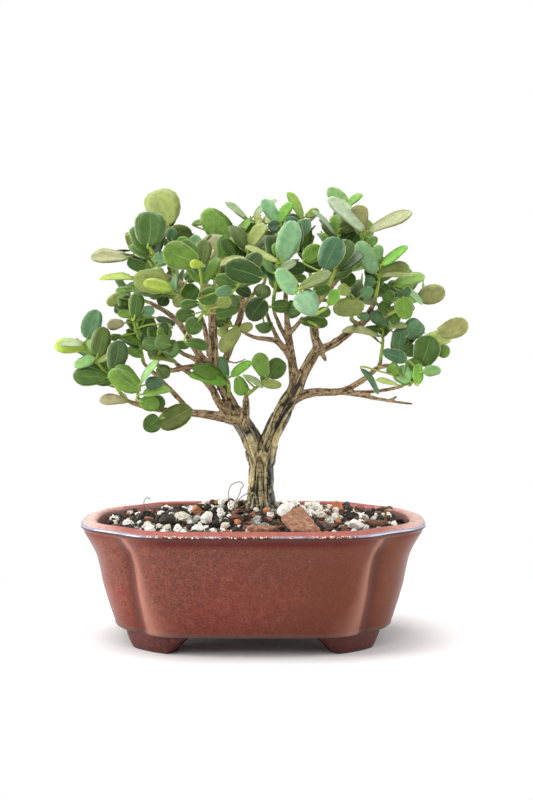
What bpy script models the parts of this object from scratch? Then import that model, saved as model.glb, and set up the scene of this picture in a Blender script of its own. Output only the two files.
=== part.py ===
"""Natal plum bonsai (Carissa macrocarpa) in a four-lobed glazed pot with bracket feet.

Sizes and places are in millimetres, and MM turns them into Blender's metres. The pot stands on
z = 0 with its middle at x = y = 0 while the pieces are made; the last step puts the origin under
the middle of the whole plant.
"""

import math
import random

import bmesh
import bpy
import numpy as np
from mathutils import Euler, Matrix, Vector
from mathutils.bvhtree import BVHTree

MM = 0.001
GAP = 0.35  # clearance between pieces that rest on or in each other

# Pot
RIM_HEIGHT = 53.3  # of the lip's inner edge; its top falls outwards
HALF_LENGTH = 76.0
HALF_DEPTH = 57.0
END_LOBE_HALF_DEPTH = 46.8
FRONT_LOBE_HALF_LENGTH = 57.6
END_LOBE_POWER = 3.2
FRONT_LOBE_POWER = 5.0  # boxier than the end lobe
SEGMENTS_PER_QUARTER = 14
FOOT_HEIGHT = 8.0
FOOT_HALF_LENGTH = 59.8  # of the rounded plan the four feet stand on
FOOT_HALF_DEPTH = 51.0
FOOT_POWER = 2.6
FLOOR_TOP = 13.0
LIP_WIDTH = 7.0
WALL = 5.0
DRAIN_RADIUS = 7.0
DRAIN_SPACING = 56.0
SCREEN_RADIUS = 11.0
SCREEN_THICKNESS = 1.2

# Soil
SOIL_EDGE_HEIGHT = 49.5
MOUND_HEIGHT = 8.0
MOUND_SPREAD = 27.0
STONE_SPACING = 12.0
STONE_HEIGHT = 0.72  # of a main stone's width
STONE_RISE = 0.10  # how far its middle stands above the mound, of its width
STONE_FROM_WALL = 1.5
CHOSEN_STONE_ROOM = 0.6
OTHER_STONE_ROOM = 2.0

# Foliage
STEM_RADIUS = 0.75
LEAF_THICKNESS = 1.0
LEAF_CLEARANCE = 0.45

TRUNK_X = 3.7

# Woody parts: points are x, y, z and the radius there.
LIMBS = {
    "trunk": [
        (3.4, 0, 46, 6.8), (3.5, 0, 52, 7.0), (3.4, 0, 57.5, 6.5), (3.3, 0, 63, 5.7), (3.5, 0, 71, 5.4),
        (3.5, 0, 79, 5.3), (3.4, 0, 85, 4.2),
    ],
    "left_limb": [
        (2.9, 0, 77, 4.0), (0.4, 0.2, 84.5, 4.2), (-2.7, 0.5, 91, 3.95), (-6.0, 1, 96, 3.7),
        (-9.4, 1, 101.5, 2.8), (-12.2, 0.4, 107.5, 2.4), (-14.9, -0.6, 113, 2.3), (-17, -1, 119, 2.3),
        (-17.8, -1, 127, 2.2), (-17.9, -1, 135, 2.1), (-18.2, 0, 143, 1.8), (-18.5, 2, 151, 1.3),
    ],
    "right_limb": [
        (4.4, 0, 77, 4.0), (6.3, -0.4, 84.5, 4.2), (8.8, -0.8, 91, 3.95), (11.8, -1, 97, 3.9),
        (15.0, -1, 103, 3.7), (18.3, -1, 109, 3.1),
    ],
    "low_left_branch": [
        (-6, 0.6, 95.8, 2.4), (-11.5, -0.6, 96.6, 2.3), (-17, -2.2, 97.8, 2.0), (-23, -4.2, 98.8, 1.8),
        (-30, -6.5, 99.6, 1.5), (-38, -8.4, 100.6, 1.3), (-46, -10, 102, 1.2), (-53, -11, 104.2, 1.1),
    ],
    "rising_left_branch": [
        (-27, -5.6, 99.3, 1.2), (-31, -6, 103.6, 1.1), (-36, -6.4, 109, 1.1), (-41, -6.8, 114.2, 1.0),
        (-46.5, -7.4, 119.6, 0.9),
    ],
    "inner_left_branch": [
        (-11, -0.4, 98, 1.8), (-15.5, -1.8, 104, 1.7), (-18.8, -2.6, 110.6, 1.6),
        (-21.6, -3, 113.6, 1.4), (-28, -4, 116.6, 1.1), (-34, -5, 121, 0.9),
    ],
    "upper_left_branch": [
        (-17.3, -1.4, 119.4, 1.6), (-21.8, -2.6, 122.6, 1.6), (-25.6, -3.6, 127.6, 1.5),
        (-29, -4.6, 133.4, 1.4), (-33.2, -5.4, 139.4, 1.2), (-38, -6, 143.6, 1.1), (-44, -6, 147, 1.0),
    ],
    "side_left_branch": [
        (-17.2, -1.6, 118.6, 1.4), (-24, -3, 119.8, 1.3), (-30, -4.4, 119.3, 1.2),
        (-36, -6.8, 118.2, 1.1), (-41, -9.4, 120.2, 1.0),
    ],
    "middle_branch": [
        (-15.8, -0.4, 117, 1.8), (-13, 0.8, 121.6, 1.7), (-10.2, 1.8, 128, 1.5), (-7.6, 2, 135.4, 1.5),
        (-6, 2.4, 142, 1.3), (-4.6, 3.4, 150, 1.1), (-3, 5, 158, 1.0),
    ],
    "bare_twig": [(-12.4, 0.6, 122, 0.5), (-7.6, -0.6, 121.3, 0.45), (-3.6, -1.4, 122.8, 0.4)],
    "leafy_stub": [(-4.6, -1.6, 94.6, 2.2), (-3.4, -3.4, 100, 1.8), (-3.2, -5, 105.4, 1.4)],
    "right_upright": [
        (18, -0.8, 107, 2.4), (18.2, -0.6, 113, 2.3), (17.5, 0, 119.4, 2.0), (16.6, 0.2, 126, 1.8),
        (15.9, 0.4, 131.4, 1.6), (15.2, 0.8, 137, 1.4), (14.6, 1.4, 144, 1.1), (14.2, 2.4, 152, 1.0),
    ],
    "right_inner_low": [
        (16.9, 0, 123.4, 1.5), (13.4, -1.2, 128, 1.5), (10.2, -1.8, 130.9, 1.3), (6, -2.4, 131.8, 1.1),
        (0.4, -3, 132.6, 0.9), (-3.6, -3.6, 134.4, 0.8),
    ],
    "right_inner_high": [
        (13.2, -0.6, 127.6, 1.2), (10, 0.8, 133.4, 1.0), (6.8, 1.6, 140.4, 0.9), (4.6, 2, 147, 0.8),
    ],
    "right_inner_mid": [(15.6, 0.4, 130.6, 1.1), (12.4, 2.6, 136, 1.0), (9.8, 4.6, 142, 0.9)],
    "right_outer": [(15.5, 0.6, 134, 1.1), (18.6, -1.4, 137.2, 1.0), (21.6, -3.6, 141, 0.9)],
    "right_rising": [
        (18.2, -1, 108.4, 2.8), (20.4, -1, 113, 2.5), (23, -1, 118.2, 2.3), (26, -1, 123.6, 2.3),
        (28.4, -0.8, 128.2, 2.1), (27.2, 0, 133, 1.8), (26.6, 1, 138.6, 1.7), (27, 2, 144, 1.5),
        (27.6, 3, 151, 1.2), (30, 5, 158, 1.0),
    ],
    "right_wide": [
        (27.4, -1, 126.4, 1.9), (33, -1.6, 128.4, 1.8), (38.2, -2, 131.6, 1.8), (43.6, -2.2, 136, 1.7),
        (48.8, -2.4, 139.4, 1.5), (52, -2.8, 145.4, 1.2),
    ],
    "right_stub": [(29.6, -1.4, 127, 1.1), (31.8, -2, 122.7, 0.9)],
    "low_right_branch": [
        (16.6, -1.4, 104.8, 2.3), (22, -2.2, 107.2, 2.0), (28, -3.2, 108.3, 1.8),
        (34, -4.2, 108.4, 1.6), (40, -5.2, 108.6, 1.5), (46, -6.2, 107.6, 1.2), (53, -7.2, 106, 0.9),
        (61, -8.4, 104.6, 0.7), (69.6, -9.4, 103.5, 0.55),
    ],
    "dead_spur": [(59.4, -8.2, 104.9, 0.6), (62.8, -8.6, 106.6, 0.5)],
    "right_fan": [
        (39, -5, 108.6, 1.3), (45, -6, 111.8, 1.3), (50, -7, 115.2, 1.2), (54.6, -8, 119.2, 1.1),
        (59.4, -9, 120.4, 0.9),
    ],
    "right_low_twig": [
        (45, -6, 108, 1.0), (52, -7.4, 108.8, 0.9), (60, -9.2, 110, 0.8), (66, -10.4, 112, 0.8),
        (69, -11, 118, 0.8), (70.4, -11.4, 125, 0.8),
    ],
    "back_left_branch": [
        (-17.8, -0.6, 126, 1.7), (-17.9, 8, 134, 1.5), (-18.2, 18, 142, 1.3), (-20, 28, 150, 1.1),
        (-24, 37, 156, 0.9),
    ],
    "back_right_branch": [
        (27.2, 0.4, 134, 1.6), (27.2, 9, 139, 1.5), (27.8, 19, 145, 1.3), (30, 29, 151, 1.1),
        (35, 37, 156, 0.9),
    ],
    "back_middle_branch": [
        (-6, 2.4, 141, 1.2), (-4, 11, 147, 1.1), (0, 21, 152, 1.0), (4, 30, 156, 0.9),
    ],
    "front_left_branch": [
        (-18, -1.4, 137, 1.5), (-18, -10, 142, 1.3), (-17, -19, 146, 1.1), (-15, -28, 149, 0.9),
    ],
    "front_right_branch": [
        (26.8, 0, 140, 1.3), (25, -9, 143, 1.2), (23, -18, 146, 1.1), (22, -27, 148, 0.9),
    ],
    "left_crown_branch": [
        (-18.3, 0.6, 146, 1.3), (-25, -1, 152, 1.2), (-33, -2, 157, 1.1), (-40, -2.4, 160, 1.0),
    ],
    "right_crown_branch": [(27.3, 2.4, 147, 1.3), (33, 0, 153, 1.2), (38, -2, 159, 1.0)],
    "far_right_branch": [(49.6, -2.6, 140.4, 1.3), (55.4, -4, 144.4, 1.1), (60.4, -5.6, 148, 1.0)],
}

# Roots in the soil: the direction they leave the root crown, in degrees, and their length.
ROOTS = [(20, 26), (95, 20), (165, 27), (235, 19), (300, 23)]

# Leafy shoots: the limb that carries each, how far along it, the points where the green stem
# starts and ends, the length of its largest leaves, their width over length, the pairs of leaves,
# and the turn of the first pair in degrees.
SHOOTS = {
    "far_left": ("low_left_branch", 1.0, (-57, -12, 107), (-75.5, -15, 131), 14, 0.68, 4, 100),
    "low_left": ("low_left_branch", 0.9, (-50.5, -14, 106), (-50, -23, 111), 14, 0.62, 3, 30),
    "lowest": ("low_left_branch", 0.62, (-35, -11, 98.6), (-42, -18, 97), 14, 0.7, 2, 60),
    "left_middle": ("rising_left_branch", 1.0, (-48.4, -9, 123), (-53, -12, 142), 12, 0.8, 4, 40),
    "left_inner": ("side_left_branch", 1.0, (-42, -11.6, 121.6), (-40, -19, 131), 11, 0.85, 3, 0),
    "left_tier": ("upper_left_branch", 1.0, (-46.4, -3, 148), (-58, 4, 151), 11, 0.62, 3, 20),
    "left_lime": ("left_crown_branch", 0.4, (-30, -13, 149), (-40, -21, 154), 16, 0.66, 3, 80),
    "left_point": ("left_crown_branch", 0.85, (-43, -8, 157.4), (-54, -12, 159), 15, 0.4, 2, 20),
    "left_high": ("left_crown_branch", 1.0, (-44, 0, 163.4), (-55, 6, 173), 14, 0.55, 3, 0),
    "left_crest": ("left_crown_branch", 0.95, (-41, -6, 162.6), (-47, -11, 175), 16, 0.9, 3, 90),
    "left_top": ("left_crown_branch", 0.8, (-36, 10, 162), (-38, 16, 181), 15, 0.95, 3, 20),
    "front_left_high": ("front_left_branch", 0.5, (-22, -20, 153), (-23, -28, 164), 17, 0.72, 3, 15),
    "pink_old": ("left_limb", 1.0, (-17.6, -1, 155), (-14, -9, 166), 15, 0.95, 3, 50),
    "left_centre_top": ("left_crown_branch", 0.3, (-20, 12, 160), (-13, 18, 178), 14, 0.85, 3, 10),
    "centre_top": ("middle_branch", 1.0, (-2.4, 8, 162), (-1.5, 14, 185), 12, 0.5, 3, 0),
    "centre_dark": ("middle_branch", 0.86, (-4, -4, 158), (-2, -12, 172), 13, 0.85, 3, 45),
    "centre_front": ("front_left_branch", 1.0, (-10, -31, 151), (-4, -37, 158), 16, 0.75, 2, 0),
    "centre_tall": ("right_inner_mid", 1.0, (9, -10, 150), (10.4, -17, 166), 17, 0.6, 3, 60),
    "centre_crown": ("right_upright", 1.0, (13.6, 3, 157), (12, 2, 183), 13, 0.66, 3, 20),
    "right_lime_top": ("right_rising", 0.95, (25.6, 12, 160), (20.6, 20, 184), 13, 0.55, 4, 0),
    "right_slim": ("right_crown_branch", 1.0, (38, -5, 163), (37, -8, 178), 14, 0.45, 3, 30),
    "right_top": ("right_rising", 1.0, (33, 10, 164), (39.6, 14, 191.6), 13, 0.66, 4, 10),
    "right_long": ("right_crown_branch", 0.9, (42, -4, 164), (49, -9, 179), 18, 0.38, 3, 0),
    "right_teal": ("front_right_branch", 0.5, (31, -21, 152), (35, -29, 162), 14, 0.8, 3, 80),
    "right_high": ("right_wide", 1.0, (53.4, -9, 150), (55, -16, 165), 14, 0.6, 3, 10),
    "right_bright": ("far_right_branch", 1.0, (62.6, -6.4, 150.8), (69, -10, 158), 14, 0.6, 3, 15),
    "right_round": ("far_right_branch", 0.7, (59, -13, 142.6), (66, -22, 147), 11, 0.85, 2, 40),
    "right_edge": ("far_right_branch", 1.0, (64.5, -1, 149.6), (76, 7, 152), 12, 0.72, 2, 60),
    "front_blue": ("front_right_branch", 1.0, (20.6, -32, 149.6), (19, -41, 154.6), 14, 0.66, 3, 30),
    "front_round": ("front_right_branch", 0.85, (27, -27, 143), (31, -37, 145.4), 12, 0.9, 2, 20),
    "front_olive": ("right_wide", 0.72, (43, -13, 142), (44, -24, 148), 13, 0.66, 3, 0),
    "centre_shade": ("right_inner_high", 1.0, (4, -10, 146), (3, -22, 147), 12, 0.85, 2, 45),
    "left_shade": ("front_left_branch", 0.85, (-20, -30, 144), (-21, -39, 150), 12, 0.8, 2, 20),
    "right_shade": ("right_outer", 1.0, (22.8, -6.6, 139.8), (28, -15, 137.4), 12, 0.72, 2, 10),
    "low_right": ("right_low_twig", 0.72, (68.6, -15.4, 113), (71, -22, 117), 10.5, 0.8, 3, 50),
    "right_dark": ("right_low_twig", 1.0, (71.8, -12.2, 128.4), (82.5, -14, 136), 15, 0.82, 3, 0),
    "right_fan_end": ("right_fan", 1.0, (61.6, -10.6, 122), (67, -9, 133), 12, 0.62, 2, 70),
    "right_fan_rise": ("right_fan", 0.8, (56, -7, 123.6), (57, -5, 138), 11, 0.4, 3, 20),
    "centre_low": ("right_inner_low", 1.0, (-5.8, -4, 135.8), (-11, -5.4, 138), 12, 0.55, 2, 70),
    "stub_right": ("leafy_stub", 1.0, (-2.4, -6.8, 107.6), (6.4, -12, 115), 10.5, 0.85, 2, 0),
    "stub_left": ("left_limb", 0.44, (-10.8, -4.6, 108.6), (-11.6, -7.6, 115), 12, 0.45, 3, 10),
    "back_left": ("back_left_branch", 0.75, (-31, 24, 152), (-46, 28, 160), 14, 0.75, 3, 0),
    "back_left_top": ("back_left_branch", 1.0, (-25.6, 39, 158.8), (-28, 43, 171), 14, 0.75, 3, 30),
    "back_centre": ("back_middle_branch", 1.0, (5, 32, 158), (7, 40, 170), 14, 0.75, 3, 60),
    "back_right": ("back_right_branch", 1.0, (37, 39, 158), (44, 44, 168), 14, 0.75, 3, 0),
    "back_right_low": ("back_right_branch", 0.7, (40, 21, 149), (54, 24, 152), 13, 0.75, 3, 40),
    "back_low": ("back_left_branch", 0.6, (-16, 34, 145), (-16, 46, 147), 13, 0.75, 2, 20),
}

# Main stones that stand half out of the soil and are one solid with it: x, y and width.
MAIN_STONES = [
    (-54, 30, 8.4), (-48, 6, 9.6), (-39, -3, 8.6), (-63, 5, 5.6), (-60, 27, 5.2), (-34, 36, 8.6),
    (-46, -18, 5.4), (-30, -10, 7.6), (-27, -20, 6.6), (-19, -11, 7.0), (-24, -34, 5.4), (-22, 37, 7.8),
    (-12, 38, 7.4), (-9, -1, 6.4), (-8, -20, 5.6), (0, -19, 7.0), (-5, 12, 6.8), (-12, -31, 5.4),
    (26, 24, 8.6), (30, -8, 6.2), (38, 32, 7.2), (44, -3, 7.2), (50, 27, 8.4), (61, 12, 5.6),
    (57, 0, 6.2), (-32, 11, 6.0), (17, 8, 7.0), (28, 11, 7.2), (33, -19, 5.4),
]

# Stones and bark lying loose: x, y, the three half sizes, turn in degrees, number of sides and lean.
SURFACE_PIECES = {
    "bark_chip_large": ("bark", 19.8, -41, (9.2, 8.8, 1.1), 90, 3, 0.5),
    "bark_flake_front": ("bark", 4.6, -38.5, (6.2, 2.6, 1.1), -6, 6, 0),
    "bark_flake_right": ("bark", 54.5, -15, (5.0, 3.2, 1.1), 35, 5, 0),
    "pumice_large": ("pumice", 14.4, -17, (4.6, 3.4, 3.0), 25, 7, 0),
    "pumice_left": ("pumice", -20, -22, (3.4, 2.8, 2.4), 60, 6, 0),
    "pumice_right": ("pumice", 44, -27, (3.4, 2.9, 2.3), 10, 7, 0),
    "lava_left": ("lava", -37, -19, (3.6, 3.0, 2.5), 40, 6, 0),
    "clay_granule": ("clay", 38, 20, (3.4, 3.0, 2.6), 75, 7, 0),
}


def clear_scene():
    for obj in list(bpy.data.objects):
        bpy.data.objects.remove(obj, do_unlink=True)


def finish(name, colour, roughness, metallic=0.0):
    material = bpy.data.materials.new(name)
    material.use_nodes = True
    shader = material.node_tree.nodes["Principled BSDF"]
    shader.inputs["Base Color"].default_value = (*colour, 1)
    shader.inputs["Roughness"].default_value = roughness
    shader.inputs["Metallic"].default_value = metallic
    return material


def mesh_object(name, points, faces, material, collection):
    """An object from points in millimetres, with its faces turned outwards."""
    mesh = bpy.data.meshes.new(name)
    mesh.from_pydata([tuple(point) for point in np.asarray(points) * MM], [], faces)
    shell = bmesh.new()
    shell.from_mesh(mesh)
    bmesh.ops.recalc_face_normals(shell, faces=shell.faces)
    shell.to_mesh(mesh)
    shell.free()
    mesh.materials.append(material)
    mesh.shade_smooth()
    mesh.set_sharp_from_angle(angle=math.radians(35))
    obj = bpy.data.objects.new(name, mesh)
    collection.objects.link(obj)
    return obj


def loft(rings):
    """Points and faces of a closed solid through rings of equal length, its two ends capped flat."""
    rings = np.asarray(rings, dtype=float)
    count, size = rings.shape[:2]
    faces = [
        (
            row * size + i,
            row * size + (i + 1) % size,
            (row + 1) * size + (i + 1) % size,
            (row + 1) * size + i,
        )
        for row in range(count - 1)
        for i in range(size)
    ]
    faces += [tuple(range(size)), tuple(range((count - 1) * size, count * size))]
    return rings.reshape(-1, 3), faces


def evaluated_copy(obj, name, collection):
    """A plain mesh object of what obj's curve or modifiers make, its caps welded."""
    graph = bpy.context.evaluated_depsgraph_get()
    mesh = bpy.data.meshes.new_from_object(obj.evaluated_get(graph))
    shell = bmesh.new()
    shell.from_mesh(mesh)
    bmesh.ops.remove_doubles(shell, verts=shell.verts, dist=0.000005)
    bmesh.ops.recalc_face_normals(shell, faces=shell.faces)
    shell.to_mesh(mesh)
    shell.free()
    copy = bpy.data.objects.new(name, mesh)
    copy.matrix_world = obj.matrix_world
    collection.objects.link(copy)
    return copy


def tube(name, points, radii, sides, collection):
    """A tapered closed tube along the points, as a mesh."""
    curve = bpy.data.curves.new(name, "CURVE")
    curve.dimensions = "3D"
    curve.bevel_depth = MM
    curve.bevel_resolution = (sides - 4) // 2
    curve.use_fill_caps = True
    spline = curve.splines.new("POLY")
    spline.points.add(len(points) - 1)
    for knot, point, radius in zip(spline.points, points, radii):
        knot.co = (*(value * MM for value in point), 1)
        knot.radius = radius
    guide = bpy.data.objects.new(name + "_curve", curve)
    collection.objects.link(guide)
    solid = evaluated_copy(guide, name, collection)
    bpy.data.objects.remove(guide, do_unlink=True)
    bpy.data.curves.remove(curve)
    return solid


def fuse(name, solids, material, parts, helpers):
    """One piece from overlapping closed solids, joined by an exact Boolean union."""
    first, *others = solids
    group = bpy.data.collections.new(name + "_joined")
    helpers.children.link(group)
    for other in others:
        group.objects.link(other)
    union = first.modifiers.new("join", "BOOLEAN")
    union.operation = "UNION"
    union.operand_type = "COLLECTION"
    union.collection = group
    bpy.context.view_layer.update()
    whole = evaluated_copy(first, name, parts)
    whole.data.materials.clear()
    whole.data.materials.append(material)
    for solid in solids:
        bpy.data.objects.remove(solid, do_unlink=True)
    bpy.data.collections.remove(group)
    return whole


def boolean(target, operation, other):
    other.hide_render = True
    other.display_type = "WIRE"
    modifier = target.modifiers.new(f"{operation.lower()} {other.name}", "BOOLEAN")
    modifier.operation = operation
    modifier.object = other


# ---------------------------------------------------------------- pot


def superellipse(angles, half_length, half_depth, power):
    """How far a superellipse reaches from its middle in each direction."""
    across, along = abs(np.cos(angles)), abs(np.sin(angles))
    return ((across / half_length) ** power + (along / half_depth) ** power) ** (-1 / power)


def lobe_reach(angles, half_length):
    """The end lobe's and the front lobe's reach; both shrink with the half length of the level."""
    shrink = HALF_LENGTH - half_length
    end_lobe = superellipse(angles, half_length, END_LOBE_HALF_DEPTH, END_LOBE_POWER)
    front_length = FRONT_LOBE_HALF_LENGTH - 0.52 * shrink
    front_lobe = superellipse(angles, front_length, HALF_DEPTH - 0.45 * shrink, FRONT_LOBE_POWER)
    return end_lobe, front_lobe


def notch_angle(half_length):
    """The angle where the end lobe and the front lobe meet."""
    angles = np.linspace(math.radians(20), math.radians(70), 2001)
    end_lobe, front_lobe = lobe_reach(angles, half_length)
    return float(angles[np.argmax(front_lobe > end_lobe)])


def outline(half_length, inset=0.0):
    """The pot's plan at the level where its half length is this: four lobes that meet in notches.

    The inset moves the outline inwards.
    """
    notch = notch_angle(half_length)
    half = SEGMENTS_PER_QUARTER // 2
    first = np.linspace(0, notch, half, endpoint=False)
    share = np.linspace(0, 1, SEGMENTS_PER_QUARTER - half, endpoint=False)
    second = notch + (math.pi / 2 - notch) * share**1.25
    quarter = np.concatenate([first, second])
    back = math.pi - np.concatenate([quarter[1:], [math.pi / 2]])[::-1]
    angles = np.concatenate([quarter, back])
    angles = np.concatenate([angles, angles + math.pi])
    end_lobe, front_lobe = lobe_reach(angles, half_length)
    radius = np.maximum(end_lobe, front_lobe) - inset
    return np.stack([radius * np.cos(angles), radius * np.sin(angles)], axis=1)


def level(half_length, height, inset=0.0):
    plan = outline(half_length, inset)
    return np.column_stack([plan, np.full(len(plan), height)])


def wall_half_length(height):
    """The pot's outer half length at a height: a cavetto that flares from the foot band to the lip."""
    heights = [10.4, 18.7, 26, 31.7, 38.3, 42.7, 47]
    lengths = [61.5, 64.3, 66.5, 67.4, 69, 71.2, 73.8]
    return float(np.interp(height, heights, lengths))


def make_foot(name, turn_x, turn_y, material, helpers):
    """A bracket foot that wraps one corner of the pot: its ends rise to the pot in hollow curves."""
    start, end, full_start, full_end = 20.5, 61, 30, 50
    rings = []
    for angle in np.linspace(start, end, 13):
        if full_start <= angle <= full_end:
            rise = 0.0
        else:
            edge = full_start if angle < full_start else full_end
            share = abs(angle - edge) / (full_start - start if angle < full_start else end - full_end)
            rise = 0.35 * share + 0.65 * math.sin(share * math.pi / 2)
        bottom = rise * (FOOT_HEIGHT + 0.6)
        direction = np.array([math.cos(math.radians(angle)), math.sin(math.radians(angle))])
        reach = superellipse(math.radians(angle), FOOT_HALF_LENGTH, FOOT_HALF_DEPTH, FOOT_POWER)
        outer, inner = direction * reach, direction * (reach - 7)
        top = FOOT_HEIGHT + 2
        ring = [
            (*(outer * 0.985), bottom),
            (*outer, top),
            (*inner, top),
            (*(inner * 1.02), bottom),
        ]
        rings.append([(x * turn_x, y * turn_y, z) for x, y, z in ring])
    return mesh_object(name, *loft(rings), material, helpers)


def make_pot(parts, helpers):
    glaze = finish("oxblood_glaze", (0.20, 0.055, 0.040), 0.28)
    lip = RIM_HEIGHT
    rings = [level(57.5, FOOT_HEIGHT), level(59.6, FOOT_HEIGHT), level(60.9, 8.9), level(61.2, 10.2)]
    rings += [level(wall_half_length(height), height) for height in (11.2, 20, 31, 40, 46.4, 49.4)]
    rings += [
        level(HALF_LENGTH - 0.3, 49.7),
        level(HALF_LENGTH, lip - 2.3),
        level(HALF_LENGTH, lip - 1.5, 0.9),
        level(HALF_LENGTH, lip, LIP_WIDTH - 1.2),
        level(HALF_LENGTH, lip - 0.9, LIP_WIDTH),
        level(wall_half_length(40), 40, WALL),
        level(wall_half_length(22), 22, WALL),
        level(wall_half_length(15), FLOOR_TOP + 1.4, WALL + 0.8),
        level(wall_half_length(14), FLOOR_TOP, WALL + 3),
    ]
    pot = mesh_object("pot", *loft(rings), glaze, parts)
    for name, turn_x, turn_y in (("fl", -1, -1), ("fr", 1, -1), ("bl", -1, 1), ("br", 1, 1)):
        boolean(pot, "UNION", make_foot("foot_" + name, turn_x, turn_y, glaze, helpers))
    for side in (-1, 1):
        bpy.ops.mesh.primitive_cylinder_add(vertices=16, radius=DRAIN_RADIUS * MM, depth=20 * MM)
        drill = bpy.context.object
        drill.name = "drain_left" if side < 0 else "drain_right"
        move_to_collection(drill, helpers)
        drill.location = (side * DRAIN_SPACING / 2 * MM, 0, FLOOR_TOP * MM)
        boolean(pot, "DIFFERENCE", drill)
    return pot


def move_to_collection(obj, collection):
    for old in list(obj.users_collection):
        old.objects.unlink(obj)
    collection.objects.link(obj)


def make_drain_screen(name, side, parts, material):
    """A round plastic screen that keeps the soil out of a drain hole."""
    bpy.ops.mesh.primitive_cylinder_add(
        vertices=16, radius=SCREEN_RADIUS * MM, depth=SCREEN_THICKNESS * MM
    )
    screen = bpy.context.object
    screen.name = name
    move_to_collection(screen, parts)
    height = FLOOR_TOP + GAP + SCREEN_THICKNESS / 2
    screen.location = (side * DRAIN_SPACING / 2 * MM, 0, height * MM)
    screen.data.materials.append(material)
    return screen


# ---------------------------------------------------------------- soil


def soil_height(x, y):
    """The mound: a bell over the trunk that sinks to the level edge along the pot's wall."""
    distance = ((x - TRUNK_X) ** 2 + (1.25 * y) ** 2) / (2 * MOUND_SPREAD**2)
    return SOIL_EDGE_HEIGHT + MOUND_HEIGHT * np.exp(-distance)


def main_stones(rim):
    """The chosen stones and, where they leave room, others about one spacing apart, clear of all else."""
    chance = random.Random(5)
    stones = [(*stone, CHOSEN_STONE_ROOM) for stone in MAIN_STONES]
    for row in range(-4, 5):
        for column in range(-6, 7):
            x = (column + 0.5 * (row % 2)) * STONE_SPACING + chance.uniform(-2, 2)
            y = row * STONE_SPACING * math.sin(math.radians(60)) + chance.uniform(-2, 2)
            stones.append((x, y, chance.uniform(5.6, 7.8), OTHER_STONE_ROOM))
    rim_angles = np.arctan2(rim[:, 1], rim[:, 0])
    order = np.argsort(rim_angles)
    rim_reach = np.hypot(rim[:, 0], rim[:, 1])
    loose = [(x, y, 2 * max(halves[:2])) for _, x, y, halves, *_ in SURFACE_PIECES.values()]
    loose.append((TRUNK_X, 0, 2 * LIMBS["trunk"][1][3]))
    kept = []
    for x, y, width, room in stones:
        reach = np.interp(math.atan2(y, x), rim_angles[order], rim_reach[order], period=math.tau)
        inside = math.hypot(x, y) + width / 2 < reach - STONE_FROM_WALL
        apart = [math.hypot(x - a, y - b) - (width + other) / 2 for a, b, other in kept + loose]
        if inside and min(apart) > room:
            kept.append((x, y, width))
    return kept


def make_stones(stones, material, helpers):
    """Every main stone as a faceted ball, longer than wide and turned at random, in one helper mesh."""
    chance = random.Random(8)
    shell = bmesh.new()
    for x, y, width in stones:
        size = Vector((width / 2, width / 2 * chance.uniform(0.78, 0.95), width / 2 * STONE_HEIGHT))
        place = Vector((x, y, float(soil_height(x, y)) + STONE_RISE * width))
        tumble = Euler([chance.uniform(0, math.tau) for _ in range(3)]).to_matrix()
        turn = Matrix.Rotation(chance.uniform(0, math.tau), 3, "Z")
        ball = bmesh.ops.create_icosphere(shell, subdivisions=1, radius=1)["verts"]
        for vertex in ball:
            point = tumble @ vertex.co
            vertex.co = (turn @ Vector([a * b for a, b in zip(point, size)]) + place) * MM
    mesh = bpy.data.meshes.new("main_stones")
    shell.to_mesh(mesh)
    shell.free()
    mesh.materials.append(material)
    obj = bpy.data.objects.new("main_stones", mesh)
    helpers.objects.link(obj)
    return obj


def make_soil(parts, helpers, root_solids):
    loam = finish("granular_soil", (0.10, 0.07, 0.05), 0.95)
    side = WALL + GAP + 0.1
    rings = [
        level(wall_half_length(14), FLOOR_TOP + GAP, WALL + 4),
        level(wall_half_length(22), 22, side + 0.2),
        level(wall_half_length(40), 40, side + 0.4),
        level(wall_half_length(40) + 2.8, SOIL_EDGE_HEIGHT - 1.5, side + 1.9),
    ]
    rim = rings[-1]
    for share in (0.96, 0.7, 0.42, 0.16):
        ring = rim * share + np.array([TRUNK_X, 0, 0]) * (1 - share)
        ring[:, 2] = soil_height(ring[:, 0], ring[:, 1])
        rings.append(ring)
    soil = mesh_object("soil", *loft(rings), loam, parts)
    boolean(soil, "UNION", make_stones(main_stones(rim), loam, helpers))
    for side in (-1, 1):
        bpy.ops.mesh.primitive_cylinder_add(
            vertices=16, radius=(SCREEN_RADIUS + 0.6) * MM, depth=2 * (SCREEN_THICKNESS + GAP) * MM
        )
        recess = bpy.context.object
        recess.name = "recess_left" if side < 0 else "recess_right"
        move_to_collection(recess, helpers)
        recess.location = (side * DRAIN_SPACING / 2 * MM, 0, (FLOOR_TOP + GAP) * MM)
        boolean(soil, "DIFFERENCE", recess)
    cavity = fuse("root_cavity", root_solids, loam, helpers, helpers)
    boolean(soil, "DIFFERENCE", cavity)
    return soil


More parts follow.
